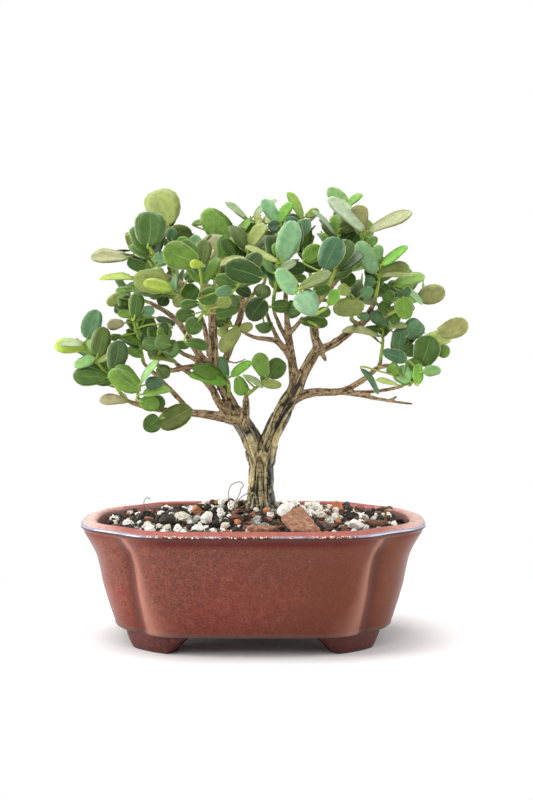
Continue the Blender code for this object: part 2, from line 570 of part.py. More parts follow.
def make_surface_piece(name, kind, x, y, halves, turn, sides, lean, material, parts):
    """A stone or a piece of bark: a faceted pebble of stacked rings that rests on the mound.

    The lean is how much steeper than the mound it rises towards the back.
    """
    chance = random.Random(name)
    levels = ((-1, 0.55), (-0.35, 1.0), (0.45, 0.92), (1, 0.5)) if kind != "bark" else ((-1, 0.92), (1, 0.85))
    spread = [1 + chance.uniform(-0.16, 0.12) for _ in range(sides)]
    slope_x = float(soil_height(x + 1, y) - soil_height(x - 1, y)) / 2
    slope_y = float(soil_height(x, y + 1) - soil_height(x, y - 1)) / 2 + lean
    rings = []
    for height, width in levels:
        ring = []
        for i in range(sides):
            angle = math.tau * i / sides
            along = halves[0] * width * spread[i] * math.cos(angle)
            across = halves[1] * width * spread[i] * math.sin(angle)
            heading = math.radians(turn)
            dx = along * math.cos(heading) - across * math.sin(heading)
            dy = along * math.sin(heading) + across * math.cos(heading)
            ring.append([x + dx, y + dy, height * halves[2] + slope_x * dx + slope_y * dy])
        rings.append(ring)
    rings = np.array(rings)
    bottom = rings[0]
    lift = np.max(soil_height(bottom[:, 0], bottom[:, 1]) - bottom[:, 2]) + GAP + 0.1
    rings[:, :, 2] += lift
    return mesh_object(name, *loft(rings), material, parts)


# ---------------------------------------------------------------- wood


def limb_point(limb, share):
    """The point this share of the way along a limb, by its length, and the radius there."""
    points = np.array(LIMBS[limb], dtype=float)
    steps = np.linalg.norm(np.diff(points[:, :3], axis=0), axis=1)
    travelled = np.concatenate([[0], np.cumsum(steps)])
    return np.array([np.interp(share * travelled[-1], travelled, points[:, i]) for i in range(4)])


def twig_path(shoot):
    """A twig from its limb to the foot of a shoot: it bows a little and ends in line with the shoot."""
    limb, share, base, tip = shoot[:4]
    start = limb_point(limb, share)
    base, tip = np.array(base, dtype=float), np.array(tip, dtype=float)
    heading = (tip - base) / np.linalg.norm(tip - base)
    reach = np.linalg.norm(base - start[:3])
    neck = base - heading * min(2.0, reach / 3)
    middle = (start[:3] + neck) / 2 - heading * reach * 0.08
    thick = min(start[3] * 0.8, 1.1)
    points = [start[:3], middle, neck, base] if reach > 8 else [start[:3], neck, base]
    return points, list(np.linspace(thick, STEM_RADIUS, len(points)))


def root_path(heading, length, extra=0.0):
    """A root that leaves the crown and sinks as it spreads."""
    turn = math.radians(heading)
    shares = np.array([0, 0.35, 0.7, 1.0])
    reach = shares * length + np.array([0, 0, 0, extra])
    points = [
        (TRUNK_X + r * math.cos(turn), 0.8 * r * math.sin(turn), 47 - 14 * share**1.3)
        for r, share in zip(reach, shares)
    ]
    return points, [3.4 + extra, 2.8 + extra, 2.0 + extra, 1.3 + extra]


def root_tubes(label, extra, helpers):
    """The part of the plant that stands in the soil: the foot of the trunk and its roots."""
    trunk = LIMBS["trunk"][:4]
    points = [point[:3] for point in trunk]
    points[0] = (points[0][0], points[0][1], points[0][2] - extra)
    solids = [tube(label + "_crown", points, [point[3] + extra for point in trunk], 10, helpers)]
    for i, (heading, length) in enumerate(ROOTS):
        path, radii = root_path(heading, length, extra)
        solids.append(tube(f"{label}_{i}", path, radii, 6, helpers))
    return solids


def make_wood(parts, helpers):
    """The trunk, limbs, twigs and roots, which grew as one piece."""
    bark = finish("ridged_bark", (0.30, 0.22, 0.14), 0.9)
    solids = []
    for name, points in LIMBS.items():
        thickest = max(point[3] for point in points)
        sides = 10 if thickest > 4 else 8 if thickest > 2.3 else 6 if thickest > 1 else 4
        solids.append(tube(name, [p[:3] for p in points], [p[3] for p in points], sides, helpers))
    for name, shoot in SHOOTS.items():
        solids.append(tube(name + "_twig", *twig_path(shoot), 4, helpers))
    for i, (heading, length) in enumerate(ROOTS):
        solids.append(tube(f"root_{i}", *root_path(heading, length), 6, helpers))
    trees = [tree_of(solid) for solid in solids]
    return fuse("trunk_and_branches", solids, bark, parts, helpers), trees


# ---------------------------------------------------------------- foliage


def tree_of(obj, grow=0.0):
    """A search tree of an object's faces, each point moved outwards by grow, in millimetres."""
    points = [(vertex.co / MM) + vertex.normal * grow for vertex in obj.data.vertices]
    return BVHTree.FromPolygons(points, [tuple(face.vertices) for face in obj.data.polygons])


def leaf_rings(foot, heading, face, length, width, thickness):
    """A leaf blade: flat on its upper side, with the midrib as a keel below, from the stalk to the tip.

    foot is where it leaves the stem, heading its unit direction and face the way its upper side looks.
    """
    side = np.cross(heading, face)
    rings = []
    for share, breadth, keel in ((0.0, 0.12, 0.8), (0.33, 0.86, 1.0), (0.76, 0.92, 1.0), (1.0, 0.26, 0.6)):
        half = breadth * width / 2
        middle = foot + heading * share * length - face * 0.16 * length * (share - 0.4) ** 2
        upper = face * thickness / 2
        keel_point = middle - upper * (2 * keel - 1)
        rings.append([middle + side * half + upper, middle - side * half + upper, keel_point])
    return rings


def shoot_axes(base, tip):
    """The shoot's direction and two directions square to it, the first as near to +X as it can be."""
    stem = (tip - base) / np.linalg.norm(tip - base)
    start = np.array([1.0, 0, 0]) if abs(stem[0]) < 0.93 else np.array([0, 0, 1.0])
    right = start - stem * np.dot(start, stem)
    right /= np.linalg.norm(right)
    return stem, right, np.cross(stem, right)


def leaf_places(name, shoot):
    """Where each leaf grows: opposite pairs, each turned a quarter.

    Long shoots have lost one leaf of the oldest pair.
    """
    chance = random.Random(name)
    _, _, base, tip, longest, breadth, pairs, roll = shoot
    base, tip = np.array(base, dtype=float), np.array(tip, dtype=float)
    stem, right, back = shoot_axes(base, tip)
    for pair in range(pairs):
        share = 0.2 + 0.73 * (pair / (pairs - 1))
        open_angle = math.radians(78 - 34 * share)
        for half_turn in (0, 180) if pair > 0 or pairs < 3 else (0,):
            turn = math.radians(roll + 90 * pair + half_turn + chance.uniform(-12, 12))
            outward = math.cos(turn) * right + math.sin(turn) * back
            angle = open_angle + math.radians(chance.uniform(-8, 8))
            swell = 0.78 + 0.22 * math.sin(math.pi * min(share + 0.2, 1))
            size = longest * swell * chance.uniform(0.88, 1.08)
            yield {
                "foot": base + (tip - base) * share + outward * 0.25,
                "angle": angle,
                "turn": turn,
                "length": size,
                "width": size * breadth * chance.uniform(0.94, 1.06),
                "axes": (stem, right, back),
            }


def leaf_frame(place, swing, open_more, shrink):
    stem, right, back = place["axes"]
    turn, angle = place["turn"] + math.radians(swing), place["angle"] + math.radians(open_more)
    outward = math.cos(turn) * right + math.sin(turn) * back
    heading = math.cos(angle) * stem + math.sin(angle) * outward
    face = math.sin(angle) * stem - math.cos(angle) * outward
    return place["foot"], heading, face, place["length"] * shrink, place["width"] * shrink


def search_tree(points, faces):
    return BVHTree.FromPolygons([Vector(point) for point in points], faces)


def clear_of(rings, trees):
    blade = search_tree(*loft(rings))
    return not any(blade.overlap(tree) for tree in trees)


def make_foliage(parts, helpers, wood_trees):
    """Each shoot is a green stem with its leaves, and no leaf touches another shoot.

    A leaf turns aside, shrinks or is left off where another is in its way.
    """
    green = finish("leaf_green", (0.10, 0.24, 0.06), 0.35)
    stems, taken = {}, list(wood_trees)
    for name, shoot in SHOOTS.items():
        base, tip = np.array(shoot[2], dtype=float), np.array(shoot[3], dtype=float)
        start = base + (tip - base) / np.linalg.norm(tip - base) * GAP
        stems[name] = tube(name + "_stem", [start, tip], [STEM_RADIUS, STEM_RADIUS * 0.8], 4, helpers)
    stem_trees = {name: tree_of(stem, 0.3) for name, stem in stems.items()}
    tries = [(0, 0, 1)] + [
        (swing, wider, shrink)
        for shrink in (1, 0.86, 0.72)
        for wider in (0, 12, -14, 22)
        for swing in (-18, 18, -34, 34)
    ]
    for name, shoot in SHOOTS.items():
        own, blades = [], []
        others = taken + [tree for other, tree in stem_trees.items() if other != name]
        for place in leaf_places(name, shoot):
            for swing, wider, shrink in tries:
                foot, heading, face, length, width = leaf_frame(place, swing, wider, shrink)
                roomy = (width + 2 * LEAF_CLEARANCE, LEAF_THICKNESS + 2 * LEAF_CLEARANCE)
                guard = leaf_rings(foot, heading, face, length + LEAF_CLEARANCE, *roomy)
                stalk = heading * (STEM_RADIUS + 1.2)
                beyond_stalk = leaf_rings(foot + stalk, heading, face, length - 1, *roomy)
                if clear_of(guard, others) and clear_of(beyond_stalk, own):
                    blade = loft(leaf_rings(foot, heading, face, length, width, LEAF_THICKNESS))
                    own.append(search_tree(*blade))
                    blades.append(mesh_object(f"{name}_{len(blades)}", *blade, green, helpers))
                    break
        taken += own
        fuse(name + "_shoot", [stems[name], *blades], green, parts, helpers)


# ---------------------------------------------------------------- whole plant


def centre_on_origin(parts):
    """Parents every piece to one empty and moves it, so that the box's bottom middle is the origin."""
    bpy.context.view_layer.update()
    graph = bpy.context.evaluated_depsgraph_get()
    corners = np.array(
        [
            obj.matrix_world @ Vector(corner)
            for obj in parts.objects
            for corner in obj.evaluated_get(graph).bound_box
        ]
    )
    middle = (corners.min(axis=0) + corners.max(axis=0)) / 2
    place = bpy.data.objects.new("plant_place", None)
    parts.objects.link(place)
    for obj in bpy.data.objects:
        if obj is not place:
            obj.parent = place
    place.location = (-middle[0], -middle[1], 0)


def main():
    clear_scene()
    parts = bpy.data.collections.new("natal_plum_bonsai")
    helpers = bpy.data.collections.new("cutters")
    bpy.context.scene.collection.children.link(parts)
    bpy.context.scene.collection.children.link(helpers)
    helpers.hide_render = True

    make_pot(parts, helpers)
    plastic = finish("screen_plastic", (0.03, 0.03, 0.03), 0.6)
    make_drain_screen("drain_screen_left", -1, parts, plastic)
    make_drain_screen("drain_screen_right", 1, parts, plastic)
    make_soil(parts, helpers, root_tubes("cavity", GAP + 0.05, helpers))
    surface = {
        "bark": finish("bark_chip", (0.22, 0.12, 0.06), 0.9),
        "pumice": finish("pumice", (0.62, 0.58, 0.50), 0.95),
        "lava": finish("lava", (0.05, 0.045, 0.045), 0.95),
        "clay": finish("baked_clay", (0.50, 0.26, 0.12), 0.9),
    }
    for name, (kind, *rest) in SURFACE_PIECES.items():
        make_surface_piece(name, kind, *rest, surface[kind], parts)
    _, wood_trees = make_wood(parts, helpers)
    make_foliage(parts, helpers, wood_trees)
    centre_on_origin(parts)


main()
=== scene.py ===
import math
import random
from functools import partial

import bpy
import numpy as np
from numpy import append, arange, array, clip, cos, full, interp, linspace, repeat, sin, zeros
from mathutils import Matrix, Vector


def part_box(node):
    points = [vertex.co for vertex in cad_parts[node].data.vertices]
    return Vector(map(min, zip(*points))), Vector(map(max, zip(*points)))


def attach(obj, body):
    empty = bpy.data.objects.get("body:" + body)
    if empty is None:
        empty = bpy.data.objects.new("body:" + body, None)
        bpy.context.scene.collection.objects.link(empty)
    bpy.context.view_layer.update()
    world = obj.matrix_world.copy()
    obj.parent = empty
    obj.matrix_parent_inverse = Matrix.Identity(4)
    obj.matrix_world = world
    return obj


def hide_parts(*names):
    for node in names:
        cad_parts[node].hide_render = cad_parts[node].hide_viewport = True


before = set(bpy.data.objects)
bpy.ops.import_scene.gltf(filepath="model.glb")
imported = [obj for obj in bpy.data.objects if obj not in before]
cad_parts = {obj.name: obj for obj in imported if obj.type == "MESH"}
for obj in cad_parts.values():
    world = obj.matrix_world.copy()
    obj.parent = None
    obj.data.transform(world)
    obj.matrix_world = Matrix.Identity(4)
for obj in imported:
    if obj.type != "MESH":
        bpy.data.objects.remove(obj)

join, besides, norm = np.concatenate, np.column_stack, np.linalg.norm

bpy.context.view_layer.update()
potLow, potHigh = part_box("pot")
mm = 0.001
potX = (potLow[0] + potHigh[0]) / 2  # the pot's middle; plant sizes below are millimetres from it
print("stage: frame loaded")


def toFrame(points):
    # plant millimetres to the frame's metres
    return np.asarray(points, float) * mm + array([potX, 0, 0])


def latticeNoise(points, seed):
    # value noise: each lattice corner gets a hashed number, blended with a quintic fade; -1 to 1
    cell = np.floor(points).astype(np.int64)
    part = points - cell
    fade = part**3 * (part * (part * 6 - 15) + 10)
    total = zeros(len(points))
    for corner in np.ndindex(2, 2, 2):
        at = cell + corner
        mix = (at[:, 0] * 73856093) ^ (at[:, 1] * 19349663) ^ (at[:, 2] * 83492791) ^ (seed * 40503 + 977)
        mix = (mix ^ (mix >> 13)) * 1274126177 & 0xFFFFFFFF
        mix = mix ^ (mix >> 15)
        weight = np.prod(np.where(corner, fade, 1 - fade), axis=1)
        total += weight * ((mix & 0xFFFF) / 32767.5 - 1)
    return total


def layeredNoise(points, seed, layers=3, gain=0.5):
    # octaves of lattice noise, each twice as fine and gain times as strong
    total = zeros(len(points))
    for i in range(layers):
        total += gain**i * latticeNoise(points * 2**i + 17.3 * i, seed + i)
    return total / sum(gain**i for i in range(layers))


def gridQuads(rows, columns, wrap):
    # quads of a row-major grid; wrap joins the last column to the first
    width = columns if wrap else columns - 1
    row, column = np.meshgrid(arange(rows - 1), arange(width), indexing="ij")
    after = (column + 1) % columns
    quads = np.stack(
        [row * columns + column, row * columns + after, (row + 1) * columns + after, (row + 1) * columns + column],
        axis=-1,
    )
    return quads.reshape(-1, 4)


def fanTris(ring, pole, flip):
    # triangles from a ring of indices to one pole
    after = np.roll(ring, -1)
    tris = np.stack([ring, after, full(len(ring), pole)], axis=1)
    return tris[:, ::-1] if flip else tris


def poleFans(rows, columns):
    # fans from the first and last ring of a closed grid to the two poles that follow its points
    last = (rows - 1) * columns
    return join([
        fanTris(arange(columns), rows * columns, True),
        fanTris(arange(columns) + last, rows * columns + 1, False),
    ])


def addObject(name, data):
    item = bpy.data.objects.new(name, data)
    bpy.context.scene.collection.objects.link(item)
    return item


def makePiece(name, points, quads, tris, material, layers=None, uv=None, smooth=True):
    # one mesh object from whole arrays; layers are named numbers or colours kept on its points
    quads = np.asarray(quads, np.int64).reshape(-1, 4)
    tris = np.asarray(tris, np.int64).reshape(-1, 3)
    mesh = bpy.data.meshes.new(name)
    corners = join([quads.ravel(), tris.ravel()])
    mesh.vertices.add(len(points))
    mesh.vertices.foreach_set("co", toFrame(points).astype(np.float32).ravel())
    mesh.loops.add(len(corners))
    mesh.loops.foreach_set("vertex_index", corners.astype(np.int32))
    sizes = join([full(len(quads), 4), full(len(tris), 3)])
    starts = join([[0], np.cumsum(sizes)[:-1]])
    mesh.polygons.add(len(sizes))
    mesh.polygons.foreach_set("loop_start", starts.astype(np.int32))
    mesh.update(calc_edges=True)
    mesh.validate()
    for label, values in (layers or {}).items():
        values = np.asarray(values, np.float32)
        if values.ndim == 1:
            mesh.attributes.new(label, "FLOAT", "POINT").data.foreach_set("value", values)
        else:
            colours = besides([values, np.ones(len(values))]).astype(np.float32)
            mesh.attributes.new(label, "FLOAT_COLOR", "POINT").data.foreach_set("color", colours.ravel())
    if uv is not None:
        mesh.uv_layers.new(name="surface").data.foreach_set("uv", np.asarray(uv, np.float32)[corners].ravel())
    mesh.polygons.foreach_set("use_smooth", full(len(sizes), smooth))
    mesh.materials.append(material)
    return addObject(name, mesh)


def finishedMesh(piece):
    # the piece's mesh with its modifiers applied
    return bpy.data.meshes.new_from_object(piece.evaluated_get(bpy.context.evaluated_depsgraph_get()))


def readArray(items, label, width=1, kind=float):
    values = np.empty(len(items) * width, kind)
    items.foreach_get(label, values)
    return values.reshape(-1, width) if width > 1 else values


def keepPiece(piece, slot, *nodes):
    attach(piece, "root")
    if nodes:
        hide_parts(*nodes)
    return piece


def newMaterial(name):
    # the material, its node tree, its shader and the object coordinates
    material = bpy.data.materials.new(name)
    material.use_nodes = True
    tree = material.node_tree
    tree.nodes.clear()
    shader = addNode(tree, "BsdfPrincipled")
    addNode(tree, "OutputMaterial", {"Surface": shader.outputs["BSDF"]})
    return material, tree, shader, addNode(tree, "TexCoord").outputs["Object"]


def setInputs(node, inputs):
    # links what is a socket and sets what is a plain value
    for key, value in inputs.items():
        if isinstance(value, bpy.types.NodeSocket):
            node.id_data.links.new(value, node.inputs[key])
        else:
            node.inputs[key].default_value = value


def addNode(tree, kind, inputs=None, **settings):
    # kind is the node's type without ShaderNode before it
    node = tree.nodes.new("ShaderNode" + kind)
    for key, value in settings.items():
        setattr(node, key, value)
    setInputs(node, inputs or {})
    return node


def treeOf(*values):
    # the node tree of the first value that is a socket
    return next(value.id_data for value in values if isinstance(value, bpy.types.NodeSocket))


def noise(where, scale, detail=4.0, roughness=0.55):
    values = {"Vector": where, "Scale": scale, "Detail": detail, "Roughness": roughness}
    return addNode(where.id_data, "TexNoise", values).outputs["Fac"]


def ramp(value, stops):
    # colour stops as (place, colour); a plain number gives grey
    node = addNode(value.id_data, "ValToRGB", {"Fac": value})
    band = node.color_ramp
    while len(band.elements) < len(stops):
        band.elements.new(0.5)
    for element, (place, colour) in zip(band.elements, stops):
        element.position = place
        shade = (colour,) * 3 if isinstance(colour, (int, float)) else colour
        element.color = (*shade, 1)
    return node.outputs["Color"]


def mixColour(share, first, second, blend="MIX"):
    first, second = ((*value, 1) if isinstance(value, tuple) else value for value in (first, second))
    node = addNode(treeOf(share, first, second), "Mix", data_type="RGBA", blend_type=blend)
    setInputs(node, {0: share, 6: first, 7: second})
    return node.outputs[2]


def mathNode(operation, first, second=0.0, clamp=False):
    node = addNode(treeOf(first, second), "Math", operation=operation, use_clamp=clamp)
    setInputs(node, {0: first, 1: second})
    return node.outputs[0]


times, plus, minus, larger = (partial(mathNode, name) for name in ("MULTIPLY", "ADD", "SUBTRACT", "MAXIMUM"))


def between(value, low, high):
    # 0 at low and before it, 1 at high and past it
    values = {"Value": value, "From Min": low, "From Max": high}
    return addNode(value.id_data, "MapRange", values).outputs[0]


def bumpNode(height, strength, distance):
    values = {"Height": height, "Strength": strength, "Distance": distance}
    return addNode(height.id_data, "Bump", values).outputs[0]


def layerNode(tree, name, output="Fac"):
    return addNode(tree, "Attribute", attribute_name=name).outputs[output]


# speckle: small dots scattered over a surface, as a mask; used by the glaze and the stones
def makeSpeckleGroup():
    group = bpy.data.node_groups.new("speckle", "ShaderNodeTree")
    for name in ("Vector", "Scale", "Size", "Mask"):
        way, kind = "OUTPUT" if name == "Mask" else "INPUT", "Vector" if name == "Vector" else "Float"
        group.interface.new_socket(name, in_out=way, socket_type="NodeSocket" + kind)
    entry, leave = group.nodes.new("NodeGroupInput"), group.nodes.new("NodeGroupOutput")
    cells = addNode(group, "TexVoronoi", {"Vector": entry.outputs[0], "Scale": entry.outputs[1]})
    pick = addNode(group, "SeparateColor", {"Color": cells.outputs["Color"]}).outputs[0]
    near = mathNode("LESS_THAN", cells.outputs["Distance"], times(pick, entry.outputs[2]))
    group.links.new(near, leave.inputs[0])
    return group


speckleGroup = makeSpeckleGroup()


def speckleMask(where, scale, size):
    values = {0: where, 1: scale, 2: size}
    return addNode(where.id_data, "Group", values, node_tree=speckleGroup).outputs[0]


# camera: stands 695 mm in front of the pot's middle, a little right of it, and looks slightly down
cameraView = {"place": (5.8, -695.0, 146.2), "downDegrees": 3.42, "lens": 70.5}


def makeCamera(view):
    lens = bpy.data.cameras.new("camera")
    lens.lens = view["lens"]
    lens.sensor_width = 36
    lens.clip_start, lens.clip_end = 0.01, 20
    camera = addObject("camera", lens)
    camera.location = toFrame([view["place"]])[0]
    camera.rotation_euler = (math.radians(90 - view["downDegrees"]), 0, 0)
    bpy.context.scene.camera = camera


studio = {
    "worldStrength": 0.55,
    # each lamp's place and size in metres and its watts
    "left_window": ((-0.85, -0.12, 0.32), (0.5, 0.6), 10.0),
    "right_window": ((0.85, -0.05, 0.30), (0.5, 0.6), 5.5),
    "top_window": ((-0.1, 0.12, 1.05), (0.8, 0.7), 12.0),
    "front_window": ((-0.35, -1.0, 0.75), (0.6, 0.5), 3.0),
    "lampTarget": (0, 0, 0.1),
    "floorColour": (0.80, 0.79, 0.78),
}


def makeLamp(name, target, place, size, watts):
    lamp = bpy.data.lights.new(name, "AREA")
    lamp.shape = "RECTANGLE"
    lamp.size, lamp.size_y = size
    lamp.energy = watts
    body = addObject(name, lamp)
    body.location = place
    heading = array(target, float) - array(place, float)
    level = math.hypot(heading[0], heading[1])
    body.rotation_euler = (math.atan2(level, -heading[2]), 0, math.atan2(heading[1], heading[0]) - math.pi / 2)


def makeStudio(values):
    scene = bpy.context.scene
    scene.view_settings.view_transform = "Standard"
    world = bpy.data.worlds.new("studio_white")
    scene.world = world
    world.use_nodes = True
    tree = world.node_tree
    tree.nodes.clear()
    rays = addNode(tree, "LightPath")
    seen = larger(rays.outputs["Is Camera Ray"], rays.outputs["Is Transmission Ray"])
    soft = addNode(tree, "Background", {"Color": (1, 1, 1, 1), "Strength": values["worldStrength"]})
    plain = addNode(tree, "Background", {"Color": (1, 1, 1, 1), "Strength": 1.0})
    both = addNode(tree, "MixShader", {0: seen, 1: soft.outputs[0], 2: plain.outputs[0]})
    addNode(tree, "OutputWorld", {"Surface": both.outputs[0]})
    for name in ("left_window", "right_window", "top_window", "front_window"):
        makeLamp(name, values["lampTarget"], *values[name])

    # the floor is white to the camera away from the pot and keeps the shadow near it
    material, tree, shader, where = newMaterial("studio_floor")
    setInputs(shader, {"Roughness": 0.6, "Base Color": (*values["floorColour"], 1)})
    rays = addNode(tree, "LightPath")
    seen = larger(rays.outputs["Is Camera Ray"], rays.outputs["Is Glossy Ray"])
    distance = addNode(tree, "VectorMath", {0: where}, operation="LENGTH")
    far = between(distance.outputs["Value"], 0.085, 0.19)
    white = addNode(tree, "Emission", {"Color": (1, 1, 1, 1), "Strength": 1.0})
    mixed = addNode(tree, "MixShader", {0: times(seen, far), 1: shader.outputs[0], 2: white.outputs[0]})
    output = [node for node in tree.nodes if node.bl_idname == "ShaderNodeOutputMaterial"][0]
    setInputs(output, {"Surface": mixed.outputs[0]})
    half = 1500.0
    corners = [[-half, -half, 0], [half, -half, 0], [half, half, 0], [-half, half, 0]]
    floor = makePiece("studio_floor", corners, [[0, 1, 2, 3]], [], material, smooth=False)


makeCamera(cameraView)
makeStudio(studio)
print("stage: camera and studio")

# pot: four lobes round a rounded box, a hollow-curved wall, a rolled lip and bracket feet
potShape = {
    "halfLength": 76.0,
    "halfDepth": 57.0,
    "endLobeHalfDepth": 46.8,
    "frontLobeHalfLength": 57.6,
    "endLobePower": 3.2,
    "frontLobePower": 5.0,
    "notchSoftness": 1.6,
    "lipSoftness": 10.0,
    "grooveDepth": 0.9,
    "rimHeight": 53.3,  # of the lip's inner edge; its top falls outwards
    "footPlan": (60.0, 51.2, 2.6),  # half length, half depth and power of the rounded plan the feet stand on
    "wall": 5.0,
    "drainRadius": 7.0,
    "drainSpacing": 56.0,
    "columns": 336,
}


def superellipse(angles, halfLength, halfDepth, power):
    # reach in each direction: (|cos| / length) to the power plus (|sin| / depth) to the power, to the power -1/power
    across, along = abs(cos(angles)), abs(sin(angles))
    return ((across / halfLength) ** power + (along / halfDepth) ** power) ** (-1 / power)


def twoLobes(angles, halfLength):
    # the long end lobe and the boxier front lobe
    shape = potShape
    shrink = shape["halfLength"] - halfLength
    endLobe = superellipse(angles, halfLength, shape["endLobeHalfDepth"], shape["endLobePower"])
    frontLength = shape["frontLobeHalfLength"] - 0.52 * shrink
    frontLobe = superellipse(angles, frontLength, shape["halfDepth"] - 0.45 * shrink, shape["frontLobePower"])
    return endLobe, frontLobe


def ringAt(angles, radius, height):
    return besides([radius * cos(angles), radius * sin(angles), full(len(angles), height)])


def lobeRadius(angles, halfLength, height=30):
    # plan radius: the larger of the two lobes, with the notch between them softened, most of all at the lip
    endLobe, frontLobe = twoLobes(angles, halfLength)
    softness = interp(height, (42, 50), (potShape["notchSoftness"], potShape["lipSoftness"]))
    gap = clip(1 - abs(endLobe - frontLobe) / softness, 0, 1)
    deep = potShape["grooveDepth"] * interp(height, (42, 50), (1, 0))
    groove = np.exp(-(((endLobe - frontLobe) / 2.6) ** 2)) * deep
    return np.maximum(endLobe, frontLobe) + gap**2 * softness / 4 - groove


def wallHalfLength(height):
    heights = [8.0, 10.4, 18.7, 26, 31.7, 38.3, 42.7, 47, 49.4]
    lengths = [60.6, 61.5, 64.3, 66.5, 67.4, 69, 71.2, 73.8, 75.2]
    spread = linspace(-1.6, 1.6, 9)
    return np.mean([interp(height + step, heights, lengths) for step in spread], axis=0)


def columnAngles(count):
    # angles round the pot, packed closer at the notches and the corners of the lobes
    fine = linspace(0, math.pi / 2, 4001)
    density = 1 + 4.4 * np.exp(-(((np.degrees(fine) - 41) / 8) ** 4))
    travelled = join([[0], np.cumsum((density[1:] + density[:-1]) / 2)])
    quarter = interp(arange(count // 4) / (count // 4) * travelled[-1], travelled, fine)
    mirrored = math.pi / 2 - quarter[::-1] + math.pi / 2
    mirrored = join([[math.pi / 2], mirrored[:-1]])
    half = join([quarter, mirrored])
    return join([half, half + math.pi])


def potLevels():
    # (height, half length, inset) from the underside, up the wall, over the lip and down inside
    rim = potShape["rimHeight"]
    levels = [(8.0, 58.6, 6.0), (8.0, 58.6, 1.2), (8.0, 59.6, 0.4), (8.15, 60.5, 0.1), (8.6, 61.0, 0)]
    levels += [(9.3, 61.15, 0), (9.9, 61.2, 0), (10.4, 61.35, 0), (10.9, 61.55, 0)]
    levels += [(height, float(wallHalfLength(height)), 0) for height in linspace(11.4, 48.4, 34)]
    levels += [(49.0, 74.5, 0), (49.6, 74.9, 0), (49.9, 75.3, 0), (50.1, 75.75, 0), (50.4, 76.0, 0), (50.9, 76.0, 0)]
    for turn in np.radians(linspace(15, 75, 5)):
        levels.append((rim - 2.4 + 0.95 * math.sin(turn), 76.0, 0.95 * (1 - math.cos(turn))))
    levels += [(rim - 1.25, 76.0, 1.5), (rim - 0.85, 76.0, 2.6), (rim - 0.42, 76.0, 3.8), (rim - 0.12, 76.0, 4.8)]
    for turn in np.radians(linspace(0, 90, 5)):
        levels.append((rim - 1.2 + 1.2 * math.cos(turn), 76.0, 5.5 + 1.5 * math.sin(turn)))
    levels += [(49.0, 75.0, 6.4), (46, 73.4, 5.4)]
    levels += [(height, float(wallHalfLength(height)), potShape["wall"]) for height in (42, 36, 30, 24, 18)]
    levels += [(14.4, 62.8, 5.8), (13.3, 62.4, 7.4), (13.0, 62.4, 10)]
    return levels


def makePotBody(material):
    angles = columnAngles(potShape["columns"])
    rings, notches, insides = [], [], []
    levels = potLevels()
    top = max(range(len(levels)), key=lambda row: levels[row][0])
    for row, (height, halfLength, inset) in enumerate(levels):
        radius = lobeRadius(angles, halfLength, height) - inset
        insides.append(angles * 0 + (row > top + 2))
        endLobe, frontLobe = twoLobes(angles, halfLength)
        notches.append(clip((endLobe - frontLobe) / 20 + 0.5, 0, 1) if inset < 3 and height < 49.3 else angles * 0)
        rings.append(ringAt(angles, radius, height))
    rings = array(rings)
    # hand-made unevenness: slow swells of a quarter millimetre on the wall
    flat = rings.reshape(-1, 3)
    swell = layeredNoise(flat / 26, 5, 2) * 0.28 + latticeNoise(flat / 7, 9) * 0.05
    outward = flat[:, :2] / norm(flat[:, :2], axis=1, keepdims=True)
    onWall = clip((flat[:, 2] - 10) / 6, 0, 1) * clip((49 - flat[:, 2]) / 6, 0, 1)
    flat[:, :2] += outward * (swell * onWall)[:, None]
    lip = clip((flat[:, 2] - 51.6) / 0.6, 0, 1)
    flat[:, 2] -= lip * (0.18 + latticeNoise(flat / 15, 3) * 0.16)
    rows, columns = rings.shape[:2]
    points = join([flat, [[0, 0, levels[0][0]], [0, 0, levels[-1][0]]]])
    quads = gridQuads(rows, columns, True)
    tris = poleFans(rows, columns)
    notch = join([join(notches), [0, 0]])
    inside = join([join(insides), [0, 1]])
    return makePiece("glazed_pot", points, quads, tris, material, {"notch": notch, "inside": inside})


def makeFootShape(turnX, turnY, columns=46, rows=11):
    # a bracket foot: a band carried round one corner, whose lower edge rises at both ends, part line and part sine
    first, last, fullFirst, fullLast = 20.5, 61.0, 30.0, 50.0
    degrees = linspace(first, last, columns)
    edge = np.where(degrees < fullFirst, fullFirst, fullLast)
    span = np.where(degrees < fullFirst, fullFirst - first, last - fullLast)
    share = clip(np.where((degrees >= fullFirst) & (degrees <= fullLast), 0, abs(degrees - edge) / span), 0, 1)
    bottom = (0.35 * share + 0.65 * sin(share * math.pi / 2)) * 8.4
    angles = np.radians(degrees)
    reach = superellipse(angles, *potShape["footPlan"])
    top = 10.2
    # profile round the foot's section: outer face bows in below the pot, inner face is plain
    outer = linspace(0, 1, rows)
    depthOut = reach[:, None] - 0.2 - 1.5 * (1 - outer[None, :]) ** 1.6
    heightOut = top + (bottom[:, None] - top) * (1 - outer[None, :])
    rounding = 0.9 * clip(1 - abs(outer[None, :]) * 7, 0, 1)
    depthOut = depthOut - rounding
    depthIn = repeat((reach - 7.2)[:, None], 3, axis=1)
    heightIn = top + (bottom[:, None] - top) * array([1.0, 0.5, 0.0])[None, :]
    depth = join([depthOut[:, ::-1], (reach - 4.6)[:, None], depthIn], axis=1)
    height = join([heightOut[:, ::-1], bottom[:, None], heightIn], axis=1)
    across, along = cos(angles)[:, None] * turnX, sin(angles)[:, None] * turnY
    return np.stack([depth * across, depth * along, height], axis=-1)


def closedLoft(sections):
    # a tube of equal closed sections with a fan over each end
    rows, columns = sections.shape[:2]
    points = join([sections.reshape(-1, 3), sections[0].mean(0)[None], sections[-1].mean(0)[None]])
    quads = gridQuads(rows, columns, True)
    tris = poleFans(rows, columns)
    return points, quads, tris


